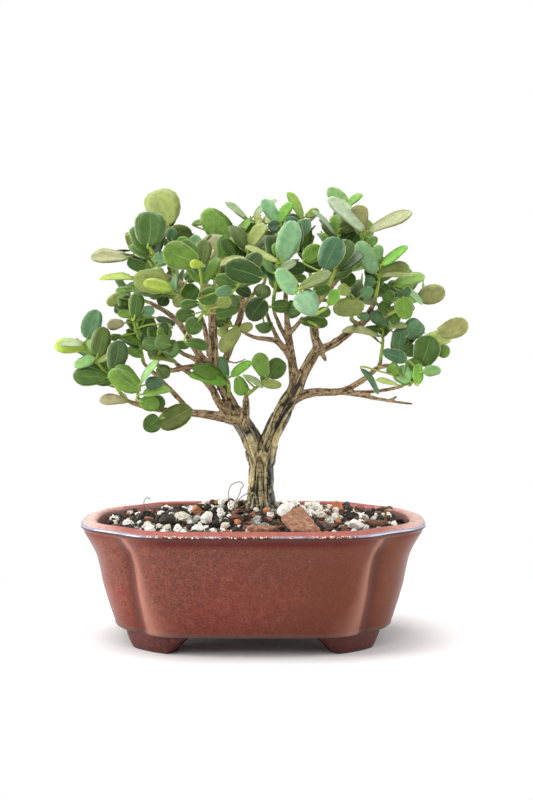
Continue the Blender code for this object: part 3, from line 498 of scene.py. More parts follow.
def signedVolume(points, quads, tris):
    triangles = join([quads[:, [0, 1, 2]], quads[:, [0, 2, 3]], tris])
    a, b, c = (points[triangles[:, i]] for i in range(3))
    return float(np.einsum("ij,ij->i", a, np.cross(b, c)).sum() / 6)


def joinSolids(solids):
    # several (points, quads, tris) as one, each turned so that it faces outwards
    allPoints, allQuads, allTris, start = [], [], [], 0
    for points, quads, tris in solids:
        middle = points - points.mean(0)
        if signedVolume(middle, quads, tris) < 0:
            quads, tris = quads[:, ::-1], tris[:, ::-1]
        allPoints.append(points)
        allQuads.append(quads + start)
        allTris.append(tris + start)
        start += len(points)
    return join(allPoints), join(allQuads), join(allTris)


glaze = {
    "body": (0.184, 0.030, 0.017),
    "light": (0.27, 0.075, 0.048),
    "brown": (0.142, 0.040, 0.023),
    # lip top and lip ends: paler where the glaze runs thin, and with painted light
    "thinAndLitLipTop": (0.34, 0.100, 0.078),
    "thinAndLitLipEnds": (0.72, 0.46, 0.40),
    # painted bluish reflection for the lip's edge
    "lipEdgeReflection": (0.25, 0.28, 0.39),
    # painted glints for the lip's edge
    "lipGlintColour": (0.90, 0.78, 0.62),
    "pool": (0.090, 0.004, 0.004),
    "inner": (0.26, 0.135, 0.125),
    # rust brown of the flame, deepened as painted shade on the wall's right side
    "flameAndShade": (0.120, 0.028, 0.009),
    "bare": (0.060, 0.011, 0.009),
    "roughness": 0.26,
    "coat": 0.14,
}


def makeGlazeMaterial(values):
    material, tree, shader, where = newMaterial("oxblood_glaze")
    parts = addNode(tree, "SeparateXYZ", {"Vector": where})
    height = parts.outputs["Z"]

    broad = noise(where, 34, 3)
    fine = noise(where, 420, 6, 0.7)
    grain = noise(where, 1700, 3, 0.6)
    # browner, duller clouds high on the wall; redder below
    clouds = plus(broad, times(between(height, 0.018, 0.044), 0.22))
    colour = mixColour(ramp(clouds, [(0.46, 0), (0.72, 0.85)]), values["body"], values["brown"])

    def coat(mask, tone):
        # lays a tone over the colour so far where the mask is 1
        nonlocal colour
        colour = mixColour(mask, colour, tone)

    coat(ramp(fine, [(0.42, 0), (0.68, 0.68)]), values["light"])
    coat(ramp(grain, [(0.47, 0), (0.62, 0.75)]), (0.060, 0.016, 0.012))
    dots = speckleMask(where, 900, 0.22)
    coat(times(dots, 0.65), (0.040, 0.020, 0.016))
    paleDots = speckleMask(where, 210, 0.05)
    coat(times(paleDots, 0.7), (0.62, 0.42, 0.33))
    # rust brown towards +X on the front, as where the flame touched it, and darker there as painted shade on the
    # wall's right side
    flameAndShadeMask = times(between(parts.outputs["X"], -0.015, 0.03), plus(broad, 0.25))
    coat(flameAndShadeMask, values["flameAndShade"])
    # the glaze pools in a mottled dark red below the lip; the thin brown line at the very top is painted shadow under
    # the lip's edge
    fromMiddle = mathNode("ABSOLUTE", minus(parts.outputs["X"], potX))
    farOut = between(fromMiddle, 0.036, 0.050)
    outside = minus(1.0, layerNode(tree, "inside"))
    mottle = ramp(plus(times(broad, 0.5), fine), [(0.54, 0.40), (0.78, 1)])
    pool = times(times(between(height, 0.0458, 0.0480), outside), mottle)
    pool = times(pool, minus(1.0, times(farOut, 0.75)))
    coat(times(pool, 0.95), values["pool"])
    # painted shadow: a thin dark line under the lip's edge
    line = times(times(between(height, 0.0493, 0.0500), between(height, 0.0510, 0.0508)), outside)
    line = times(line, ramp(fine, [(0.36, 0.35), (0.56, 0.95)]))
    coat(line, (0.062, 0.024, 0.015))
    # the lip is paler where the glaze runs thin, and with painted light on it, palest at the two ends; its edge has a
    # painted bluish reflection there and in patches, elsewhere painted glints
    lip = between(height, 0.0514, 0.0518)
    ends = between(fromMiddle, 0.054, 0.072)
    thinAndLitLipColour = mixColour(ends, values["thinAndLitLipTop"], values["thinAndLitLipEnds"])
    inner = minus(layerNode(tree, "inside"), lip, clamp=True)
    coat(inner, values["inner"])
    coat(lip, thinAndLitLipColour)
    coat(times(lip, ramp(fine, [(0.48, 0), (0.66, 0.6)])), values["body"])
    onEdge = times(times(between(height, 0.0509, 0.0511), between(height, 0.0519, 0.0517)), outside)
    # painted bluish reflection on the lip's edge, at the ends and in patches
    reflectionPatches = ramp(noise(where, 60, 3), [(0.58, 0), (0.68, 0.8)])
    edgeReflection = larger(farOut, reflectionPatches)
    coat(times(onEdge, edgeReflection), values["lipEdgeReflection"])
    # painted glints along the rest of the lip's edge
    lipGlints = times(times(onEdge, speckleMask(where, 1250, 0.55)), minus(1.0, edgeReflection))
    coat(lipGlints, values["lipGlintColour"])
    # painted shade: darker towards the foot of the wall, where it turns in
    coat(times(between(height, 0.0240, 0.0090), 0.32), (0.060, 0.006, 0.003))
    # the feet are thinly glazed, dark and speckled, below a dull brown seam
    low = between(height, 0.0086, 0.0078)
    coat(times(low, ramp(fine, [(0.40, 1), (0.70, 0.35)])), values["bare"])
    darkSpots = times(low, speckleMask(where, 620, 0.42))
    coat(times(darkSpots, 0.8), (0.022, 0.008, 0.010))
    seam = times(between(height, 0.0078, 0.0084), between(height, 0.0104, 0.0092))
    coat(times(seam, 0.8), (0.085, 0.048, 0.036))
    # painted shade down the groove of each notch, a painted highlight along the shoulder beside it
    across = layerNode(tree, "notch")
    groove = times(between(across, 0.44, 0.50), between(across, 0.66, 0.54))
    coat(times(groove, 0.75), (0.075, 0.022, 0.016))
    shoulderHighlight = times(between(across, 0.20, 0.32), between(across, 0.46, 0.40))
    shoulderHighlight = times(shoulderHighlight, between(fromMiddle, 0.030, 0.040))
    coat(times(shoulderHighlight, 0.30), (0.50, 0.24, 0.17))
    rough = plus(times(fine, 0.2), values["roughness"])
    rough = plus(rough, times(low, 0.15))
    pits = speckleMask(where, 330, 0.12)
    relief = minus(times(grain, 0.35), times(pits, 1.2))
    relief = plus(relief, times(fine, plus(times(low, 2.2), 0.8)))
    shiny = times(onEdge, larger(edgeReflection, 0.35))
    wet = larger(shiny, times(low, 0.08))
    wet = plus(wet, times(between(height, 0.010, 0.036), values["coat"]), clamp=True)
    setInputs(shader, {
        "Base Color": colour, "Roughness": minus(rough, times(onEdge, 0.2)), "Specular IOR Level": 0.2,
        "Coat Weight": wet, "Coat Roughness": 0.12, "Normal": bumpNode(relief, 0.35, 0.0003),
    })
    return material


def makePot():
    material = makeGlazeMaterial(glaze)
    body = makePotBody(material)
    feet = [closedLoft(makeFootShape(turnX, turnY)) for turnX in (-1, 1) for turnY in (-1, 1)]
    footMesh = makePiece("pot_feet", *joinSolids(feet), material)
    # drill the two drain holes, then keep the finished mesh alone
    drills = []
    for side in (-1, 1):
        turn = linspace(0, math.tau, 48, endpoint=False)
        centre = array([side * potShape["drainSpacing"] / 2, 0, 0])
        sections = array([ringAt(turn, potShape["drainRadius"], height) + centre for height in (2.0, 20.0)])
        drill = makePiece("drill", *joinSolids([closedLoft(sections)]), material)
        cut = body.modifiers.new("drain", "BOOLEAN")
        cut.operation, cut.solver, cut.object = "DIFFERENCE", "EXACT", drill
        drills.append(drill)
    drilled = finishedMesh(body)
    body.modifiers.clear()
    body.data = drilled
    for drill in drills:
        bpy.data.objects.remove(drill, do_unlink=True)
    keepPiece(body, "pot_glaze", "pot")
    keepPiece(footMesh, "pot_glaze", "pot")


makePot()
print("stage: pot")

# soil: a mound in the pot under a loose layer of pumice, lava, bark and baked clay
soilShape = {
    "edgeHeight": 49.5,
    "moundHeight": 8.0,
    "moundSpread": 27.0,
    "trunkX": 3.7,
    "looseSpacing": 3.9,
    "gritSpacing": 1.9,
    "seed": 41,
}

# main stones of the loose layer: x, y, width and kind
mainStones = [
    (-54, 30, 8.4, "w"), (-48, 6, 9.6, "d"), (-39, -3, 8.6, "d"), (-63, 5, 5.6, "w"), (-60, 27, 5.2, "w"),
    (-34, 36, 8.6, "g"), (-46, -18, 5.4, "w"), (-30, -10, 7.6, "w"), (-27, -20, 6.6, "b"), (-19, -11, 7.0, "d"),
    (-24, -34, 5.4, "w"), (-22, 37, 7.8, "r"), (-12, 38, 7.4, "w"), (-9, -1, 6.4, "w"), (-8, -20, 5.6, "w"),
    (0, -19, 7.0, "b"), (-5, 12, 6.8, "g"), (-12, -31, 5.4, "w"), (26, 24, 8.6, "w"), (30, -8, 6.2, "w"),
    (38, 32, 7.2, "d"), (44, -3, 7.2, "d"), (50, 27, 8.4, "b"), (61, 12, 5.6, "w"), (57, 0, 6.2, "d"),
    (-32, 11, 6.0, "d"), (17, 8, 7.0, "w"), (28, 11, 7.2, "w"), (33, -19, 5.4, "w"),
]

# smaller stones that show at the front
frontStones = [
    (-49, 33, 5.6, "o"), (-37, -26, 4.3, "w"), (-64, -7, 4.0, "o"), (-49, -20, 4.8, "w"), (-40, -24, 4.6, "w"),
    (-28, 18, 4.1, "w"), (-23, -26, 4.0, "w"), (-14, -14, 4.4, "w"), (-15, -6, 4.2, "w"), (-6, 3, 4.8, "d"),
    (-2, -12, 3.8, "w"), (-7, -25, 3.9, "o"), (6, -12, 4.4, "o"), (7.5, -17, 4.6, "w"), (-1, -38, 4.6, "w"),
    (37, -15, 4.4, "o"), (36, -9, 4.4, "w"), (54, 33, 4.7, "w"), (62, -4, 4.0, "b"), (51, -7, 4.4, "b"),
    (-23, -5, 4.4, "b"), (12, -9, 4.4, "g"), (17, -10, 4.0, "w"), (-43, -11, 3.9, "d"), (42, 18, 4.1, "w"),
    (22, -3, 5.2, "w"), (50, 2, 4.5, "w"), (-2, 18, 5.0, "g"), (-35, -15, 3.9, "d"), (24, -12, 4.4, "w"),
]


def soilHeight(x, y):
    # a bell over the trunk that sinks to the level edge: edge + mound * exp(-distance squared / spread squared)
    values = soilShape
    distance = ((x - values["trunkX"]) ** 2 + (1.25 * y) ** 2) / (2 * values["moundSpread"] ** 2)
    return values["edgeHeight"] + values["moundHeight"] * np.exp(-distance)


def soilRim(angles):
    # plan radius of the soil where it meets the pot's inner wall
    return lobeRadius(angles, 73.0) - potShape["wall"] - 1.2


# single pieces that lie loose on the soil: x, y and half width
surfacePlaces = [
    (19.8, -41, 9.2), (4.6, -38.5, 6.2), (54.5, -15, 5.0), (14.4, -17, 4.6),
    (-20, -22, 3.4), (44, -27, 3.4), (-37, -19, 3.6), (38, 20, 3.4),
]


def makeSoilMaterial():
    material, _, shader, where = newMaterial("dark_soil")
    fine = noise(where, 900, 5, 0.7)
    stops = [(0.3, (0.008, 0.006, 0.005)), (0.55, (0.035, 0.022, 0.014)), (0.8, (0.09, 0.055, 0.035))]
    colour = ramp(fine, stops)
    setInputs(shader, {"Base Color": colour, "Roughness": 0.95, "Normal": bumpNode(fine, 1.0, 0.0008)})
    return material


def makeSoilBlock(material):
    # stacked rings: flat underside, side along the wall, then rings that shrink over the mound to one point
    angles = linspace(0, math.tau, 160, endpoint=False)
    rings = []
    for height, halfLength, inset in ((15.0, 64.0, 7.5), (24, 66.0, 5.8), (40, 69.8, 5.6), (47.5, 73.4, 6.3)):
        rings.append(ringAt(angles, lobeRadius(angles, halfLength) - inset, height))
    for share in linspace(0.99, 0.03, 34):
        radius = soilRim(angles) * share
        x = radius * cos(angles) + (1 - share) * soilShape["trunkX"]
        y = radius * sin(angles)
        places = besides([x / 3.1, y / 3.1, zeros(160)])
        height = soilHeight(x, y) - 1.6 + layeredNoise(places, 31, 3) * 0.9 * min(1, (1 - share) * 14)
        rings.append(besides([x, y, height]))
    points, quads, tris = joinSolids([closedLoft(array(rings))])
    return makePiece("soil_block", points, quads, tris, material)


def pebbleTemplate(around, levels):
    # a ball of stacked rings between two poles, one unit in radius
    turn = linspace(0, math.tau, around, endpoint=False)
    rise = linspace(-1, 1, levels + 2)[1:-1] * math.pi / 2 * 1.05
    rings = [ringAt(turn + i * 0.5, math.cos(level), math.sin(level)) for i, level in enumerate(rise)]
    points = join([*rings, [[0, 0, -1], [0, 0, 1]]])
    quads = gridQuads(levels, around, True)
    return points, quads, poleFans(levels, around)


def scatterStones(name, places, sizes, flatness, roughness, material, seed, template, cuts=0):
    # each stone is the template, dented, cut flat on a few sides, stretched and turned; all are one mesh
    chance = np.random.default_rng(seed)
    draw = chance.uniform
    base, quads, tris = template
    count, corners = len(places), len(base)
    stretch = besides([
        draw(0.85, 1.15, count),
        draw(0.62, 0.95, count),
        draw(*flatness, count),
    ]) * np.asarray(sizes)[:, None] / 2
    dents = 1 + draw(-roughness, roughness, (count, corners, 1))
    points = base[None] * dents
    for _ in range(cuts):
        facing = chance.normal(0, 1, (count, 3))
        facing /= norm(facing, axis=1, keepdims=True)
        over = np.einsum("nci,ni->nc", points, facing) - draw(0.50, 0.88, (count, 1))
        points = points - clip(over, 0, None)[..., None] * facing[:, None, :]
    points = points * stretch[:, None, :]
    turn, lean, roll = draw(0, math.tau, count), chance.normal(0, 0.32, count), chance.normal(0, 0.32, count)
    ct, st, cl, sl, cr, sr = cos(turn), sin(turn), cos(lean), sin(lean), cos(roll), sin(roll)
    x, y, z = points[..., 0], points[..., 1], points[..., 2]
    y, z = y * cl[:, None] - z * sl[:, None], y * sl[:, None] + z * cl[:, None]
    x, z = x * cr[:, None] + z * sr[:, None], -x * sr[:, None] + z * cr[:, None]
    x, y = x * ct[:, None] - y * st[:, None], x * st[:, None] + y * ct[:, None]
    points = np.stack([x, y, z], axis=-1) + np.asarray(places)[:, None, :]
    offsets = (arange(count) * corners)[:, None, None]
    shade = repeat(draw(0, 1, count), corners)
    return makePiece(
        name, points.reshape(-1, 3), (quads[None] + offsets).reshape(-1, 4), (tris[None] + offsets).reshape(-1, 3),
        material, {"shade": shade}, smooth=False,
    )


def makeStoneMaterial(name, stops, noiseScale, bump, pits=0.0, contrast=0.5):
    # colour from each stone's own shade number, broken up by noise; pits are small holes, darkened as painted shade
    # in them
    material, tree, shader, where = newMaterial(name)
    grain = noise(where, noiseScale, 6, 0.65)
    shade = layerNode(tree, "shade")
    colour = ramp(plus(times(shade, 1 - contrast), times(grain, contrast)), stops)
    relief = grain
    if pits:
        pitShade = speckleMask(where, noiseScale * 1.6, pits)
        # painted shade in the pits
        colour = mixColour(times(pitShade, 0.3), colour, (0.16, 0.14, 0.10))
        relief = minus(grain, times(pitShade, 0.6))
    setInputs(shader, {"Base Color": colour, "Roughness": 0.9, "Normal": bumpNode(relief, 0.9, bump)})
    return material


def leastRoom(stone, others):
    # the smallest gap between a round stone and others, each given as x, y and width first
    x, y, width = stone[:3]
    return min(math.hypot(x - other[0], y - other[1]) - (width + other[2]) / 2 for other in others)


def allMainStones():
    # the chosen main stones and the others between them, as the soil's solid has them
    chance = random.Random(5)
    wanted = [(x, y, width, 0.6, kind) for x, y, width, kind in mainStones]
    for row in range(-4, 5):
        for column in range(-6, 7):
            x = (column + 0.5 * (row % 2)) * 12 + chance.uniform(-2, 2)
            y = row * 12 * math.sin(math.radians(60)) + chance.uniform(-2, 2)
            wanted.append((x, y, chance.uniform(5.6, 7.8), 2.0, "wdwbgdrow"[(row * 5 + column) % 9]))
    loose = [(x, y, 2 * half) for x, y, half in surfacePlaces]
    loose.append((soilShape["trunkX"], 0, 14.0))
    kept = []
    for x, y, width, room, kind in wanted:
        reach = float(soilRim(array([math.atan2(y, x)]))[0]) + 0.6
        if math.hypot(x, y) + width / 2 < reach - 1.5 and leastRoom((x, y, width), kept + loose) > room:
            kept.append((x, y, width, kind))
    return kept


def jitteredPlaces(spacing, chance, limit, keepOff):
    # a grid of places, each moved at random, inside the pot's inner outline and off the trunk
    across = arange(-76, 77, spacing)
    x, y = (grid.ravel() for grid in np.meshgrid(across, across))
    x = x + chance.uniform(-0.5, 0.5, len(x)) * spacing
    y = y + chance.uniform(-0.5, 0.5, len(y)) * spacing
    angles = np.arctan2(y, x)
    inside = np.hypot(x, y) < soilRim(angles) - limit
    clear = np.hypot(x - soilShape["trunkX"], y) > keepOff
    return x[inside & clear], y[inside & clear]


def makeLooseLayer(materials):
    values = soilShape
    chance = np.random.default_rng(values["seed"])
    draw = chance.uniform
    template = pebbleTemplate(8, 4)
    kinds = {
        "w": ("pumice_stones", "pumice", (0.6, 0.95), 0.16, "pumice"),
        "g": ("grey_pumice_stones", "greyPumice", (0.6, 0.9), 0.18, "pumice"),
        "d": ("lava_stones", "lava", (0.55, 0.9), 0.24, "lava"),
        "b": ("bark_bits", "bark", (0.2, 0.4), 0.26, "bark_chip"),
        "r": ("red_lava_stones", "redLava", (0.5, 0.9), 0.24, "lava"),
        "o": ("clay_bits", "clay", (0.5, 0.85), 0.18, "baked_clay"),
    }
    stones = {kind: [] for kind in kinds}
    placed = allMainStones()
    placed += [stone for stone in frontStones if leastRoom(stone, placed) > -0.8]
    front = array([stone[:3] for stone in placed])
    for x, y, width, kind in placed:
        darkPlace = (x < -26 and y > -25) or (36 < x < 60 and y > -22)
        if darkPlace and kind in "wgo" and int(abs(x * 7 + y)) % 4:
            kind = "db"[int(abs(y)) % 2]  # towards both ends the soil is mostly dark
        if -24 < x < 12 and kind in "wg" and int(abs(x * 5 + y * 3)) % 5 < 2:
            kind = "dbr"[int(abs(x)) % 3]
        if kind in "dbr" and width > 6.4:
            # a clump of crumbs in the place of one big lump
            start = draw(0, math.tau)
            for crumb in range(7):
                out, lift = (width * 0.28, 0.06) if crumb else (0, 0.20)
                angle = start + crumb * math.tau / 6
                spot = (x + out * math.cos(angle), y + out * math.sin(angle), soilHeight(x, y) + width * lift)
                stones["b" if crumb % 3 == 2 else kind].append((*spot, width * draw(0.46, 0.66)))
            continue
        stones[kind].append((x, y, soilHeight(x, y) + width * 0.08, width * 1.02))
    heroes = array(surfacePlaces)
    sheets = (3.1, 1.5, 2.6, 4.6), (values["looseSpacing"], 0.0, 2.8, 5.6)
    for layer, (spacing, sink, low, high) in enumerate(sheets):
        x, y = jitteredPlaces(spacing, chance, 1.4, 8.2)
        taken, underHero = (
            np.min(np.hypot(x[:, None] - others[:, 0], y[:, None] - others[:, 1]) - halves, axis=1) < room
            for others, halves, room in ((front, front[:, 2] / 2, 1.2), (heroes, heroes[:, 2], 0.6))
        )
        width = draw(low, high, len(x))
        odds = draw(0, 1, len(x))
        darker = clip((-x - 18) / 26, 0, 1) * 0.27 + 0.10 * np.exp(-(((x + 5) / 18) ** 4))
        limits = (0.33 - darker, 0.40 - darker, 0.66, 0.87, 0.95)
        kind = np.select([odds < limit for limit in limits], list("wgdbr"), "o")
        if layer:
            show = ~(taken | underHero)
        else:
            show = ~underHero
            draw(0, 1, len(x))  # keeps the order of the draws that follow
        behind = 1.8 * clip((y - 12) / 20, 0, 1) * clip((46 - y) / 6, 0, 1)
        # highest just behind and left of the trunk
        behind += 2.6 * np.exp(-(((x + 15) / 13) ** 4) - ((y - 14) / 12) ** 4)
        for label in kinds:
            chosen = (kind == label) & show
            height = soilHeight(x, y) + behind - sink - draw(-0.2, 0.5, len(x))
            stones[label] += list(besides([x, y, height, width])[chosen])
    for label, (name, finish, flatness, roughness, slot) in kinds.items():
        rows = array(stones[label], float)
        look = flatness, roughness, materials[finish], 60 + ord(label), template
        keepPiece(scatterStones(name, rows[:, :3], rows[:, 3], *look, cuts=5), slot, "soil")
    x, y = jitteredPlaces(values["gritSpacing"], chance, 0.8, 6.6)
    places = besides([x, y, soilHeight(x, y) - 0.5 + draw(-0.6, 0.5, len(x))])
    look = (0.5, 0.9), 0.25, materials["grit"], 77, pebbleTemplate(5, 2)
    keepPiece(scatterStones("soil_grit", places, draw(0.8, 2.2, len(x)), *look), "soil_mix", "soil")


# the large chip's corners on its own plane, millimetres to its right and up its slope
chipCorners = [
    (-3, 8.2), (1.2, 8.8), (4.8, 1.9), (8.6, -5.4), (-3, -5.6), (-4.7, -3), (-7.8, 1.8), (-6.2, 3.8), (-4, 5.2),
]


def makeHeroStone(node, x, y, halves, turn, material, slot, seed, kind="round", lean=0.0):
    # one stone worked out finely: a ball squared off by a power, dented by noise and laid on the mound
    rows, columns = (22, 34) if kind == "round" else (14, 60)
    rise = linspace(-math.pi / 2, math.pi / 2, rows + 2)[1:-1]
    sweep = linspace(0, math.tau, columns, endpoint=False)
    power = 0.75 if kind == "round" else 0.35
    level, swing = (grid.ravel() for grid in np.meshgrid(rise, sweep, indexing="ij"))
    bend = lambda value: np.sign(value) * abs(value) ** power
    reach = cos(level) ** (power if kind == "round" else 0.22)
    outline = 1.0
    if kind == "chip":
        # a broken three-sided plate: the reach of its straight edges in each direction
        ends = array(chipCorners)
        edge = join([linspace(ends[i - 1], ends[i], 12, endpoint=False) for i in range(len(ends))])
        bearing = np.arctan2(edge[:, 1], edge[:, 0])
        order = np.argsort(bearing)
        outline = interp(swing, bearing[order], np.hypot(*edge.T)[order], period=math.tau)
        outline = outline + 0.12 * sin(swing * 9) + 0.1 * sin(swing * 23 + 1)
    if kind == "flake":
        outline = 0.88 + 0.12 * sin(swing * 3 + seed) + 0.06 * sin(swing * 8 + seed)
    flat = besides([reach * cos(swing) * outline, reach * sin(swing) * outline, bend(sin(level))])
    poles = array([[0, 0, -1.0], [0, 0, 1.0]])
    flat = join([flat, poles])
    if kind == "round":
        # broken flat on a few sides
        chance = np.random.default_rng(seed)
        for _ in range(10):
            facing = chance.normal(0, 1, 3)
            facing /= norm(facing)
            over = clip(flat @ facing - chance.uniform(0.66, 0.88), 0, None)
            flat = flat - over[:, None] * facing
    scaled = flat * halves
    dent = layeredNoise(scaled / (1.9 if kind == "round" else 1.6) + seed, seed, 4)
    amount = 0.17 if kind == "round" else 0.03
    scaled = scaled * (1 + amount * dent)[:, None]
    if kind != "round":
        grainwise = besides([scaled[:, 0] / 3.5, scaled[:, 1] / 0.6, zeros(len(scaled)) + seed])
        scaled[:, 2] += layeredNoise(grainwise, seed + 4, 2) * halves[2] * 0.35 * np.sign(scaled[:, 2])
    heading = math.radians(turn)
    slopeX = float(soilHeight(x + 1, y) - soilHeight(x - 1, y)) / 2
    slopeY = float(soilHeight(x, y + 1) - soilHeight(x, y - 1)) / 2 + lean
    dx = scaled[:, 0] * math.cos(heading) - scaled[:, 1] * math.sin(heading)
    dy = scaled[:, 0] * math.sin(heading) + scaled[:, 1] * math.cos(heading)
    rise = halves[2] * (1.0 if kind == "round" else 1.25)
    height = scaled[:, 2] + slopeX * dx + slopeY * dy + float(soilHeight(x, y)) + rise
    height += lean * (7.2 if kind == "chip" else 0)
    points = besides([x + dx, y + dy, height])
    quads = gridQuads(rows, columns, True)
    tris = poleFans(rows, columns)
    points, quads, tris = joinSolids([(points, quads, tris)])
    shade = full(len(points), 0.55)
    piece = makePiece(node + "_dressed", points, quads, tris, material, {"shade": shade})
    keepPiece(piece, slot, node)


# the granules' looks: name, colour stops, scale of the noise, depth of the bumps, size of the pits and contrast
stoneLooks = {
    "grit": (
        "fine_grit", [(0.2, (0.02, 0.014, 0.010)), (0.6, (0.09, 0.05, 0.03)), (0.85, (0.35, 0.29, 0.21))],
        700, 0.0004,
    ),
    "pumice": (
        "white_pumice", [(0.22, (0.50, 0.44, 0.34)), (0.40, (0.70, 0.65, 0.54)), (0.58, (0.86, 0.84, 0.79))],
        520, 0.0009, 0.34, 0.65,
    ),
    "greyPumice": (
        "grey_pumice", [(0.2, (0.10, 0.10, 0.09)), (0.5, (0.32, 0.32, 0.30)), (0.8, (0.66, 0.66, 0.62))],
        480, 0.0008, 0.3, 0.7,
    ),
    "lava": (
        "black_lava", [(0.2, (0.010, 0.008, 0.006)), (0.55, (0.034, 0.026, 0.021)), (0.8, (0.11, 0.085, 0.070))],
        520, 0.0008, 0.4,
    ),
    "redLava": (
        "red_lava", [(0.2, (0.05, 0.018, 0.012)), (0.55, (0.13, 0.045, 0.028)), (0.85, (0.25, 0.10, 0.06))],
        520, 0.0008, 0.4,
    ),
    "bark": (
        "bark_mulch", [(0.28, (0.035, 0.016, 0.010)), (0.5, (0.13, 0.055, 0.030)), (0.72, (0.30, 0.15, 0.085))],
        500, 0.0008, 0.0, 0.6,
    ),
    "chip": (
        "reddish_bark", [(0.30, (0.09, 0.035, 0.020)), (0.46, (0.24, 0.105, 0.060)), (0.64, (0.42, 0.23, 0.135))],
        650, 0.0009, 0.0, 0.85,
    ),
    "clay": (
        "orange_clay", [(0.2, (0.30, 0.09, 0.035)), (0.55, (0.48, 0.17, 0.07)), (0.85, (0.62, 0.28, 0.13))],
        420, 0.0005,
    ),
}

# single pieces: x, y, half sizes, turn, look, slot, seed, kind and lean
singlePieces = {
    "bark_chip_large": (19.8, -41, (1.0, 1.0, 1.1), 0, "chip", "bark_chip", 3, "chip", 0.5),
    "bark_flake_front": (4.6, -38.5, (7.4, 2.9, 1.1), -4, "chip", "bark_chip", 5, "flake"),
    "bark_flake_right": (54.5, -15, (5.0, 3.2, 0.9), 35, "bark", "bark_chip", 8, "flake"),
    "pumice_large": (14.4, -17, (4.4, 3.4, 3.2), 25, "pumice", "pumice", 11),
    "pumice_left": (-20, -22, (3.4, 2.8, 2.4), 60, "pumice", "pumice", 12),
    "pumice_right": (44, -27, (3.4, 2.9, 2.3), 10, "pumice", "pumice", 13),
    "lava_left": (-37, -19, (3.6, 3.0, 2.5), 40, "lava", "lava", 14),
    "clay_granule": (38, 20, (3.4, 3.0, 2.6), 75, "clay", "baked_clay", 15),
}


def makeSoil():
    soilMaterial = makeSoilMaterial()
    materials = {finish: makeStoneMaterial(*look) for finish, look in stoneLooks.items()}
    keepPiece(makeSoilBlock(soilMaterial), "soil_mix", "soil")
    makeLooseLayer(materials)
    for node, (x, y, halves, turn, finish, slot, seed, *rest) in singlePieces.items():
        makeHeroStone(node, x, y, halves, turn, materials[finish], slot, seed, *rest)
    # the screens are woven plastic: a fine square mesh in a plain disc
    mesh, tree, shader, where = newMaterial("screen_mesh")
    waves = [
        addNode(tree, "TexWave", {"Vector": where, "Scale": 260.0}, bands_direction=axis).outputs["Fac"]
        for axis in ("X", "Y")
    ]
    weave = larger(*waves)
    shade = ramp(weave, [(0.3, 0.006), (0.7, 0.03)])
    setInputs(shader, {"Base Color": shade, "Roughness": 0.6, "Normal": bumpNode(weave, 0.6, 0.0004)})
    for node in ("drain_screen_left", "drain_screen_right"):
        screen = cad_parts[node]
        screen.data.materials.clear()
        screen.data.materials.append(mesh)


makeSoil()
print("stage: soil")

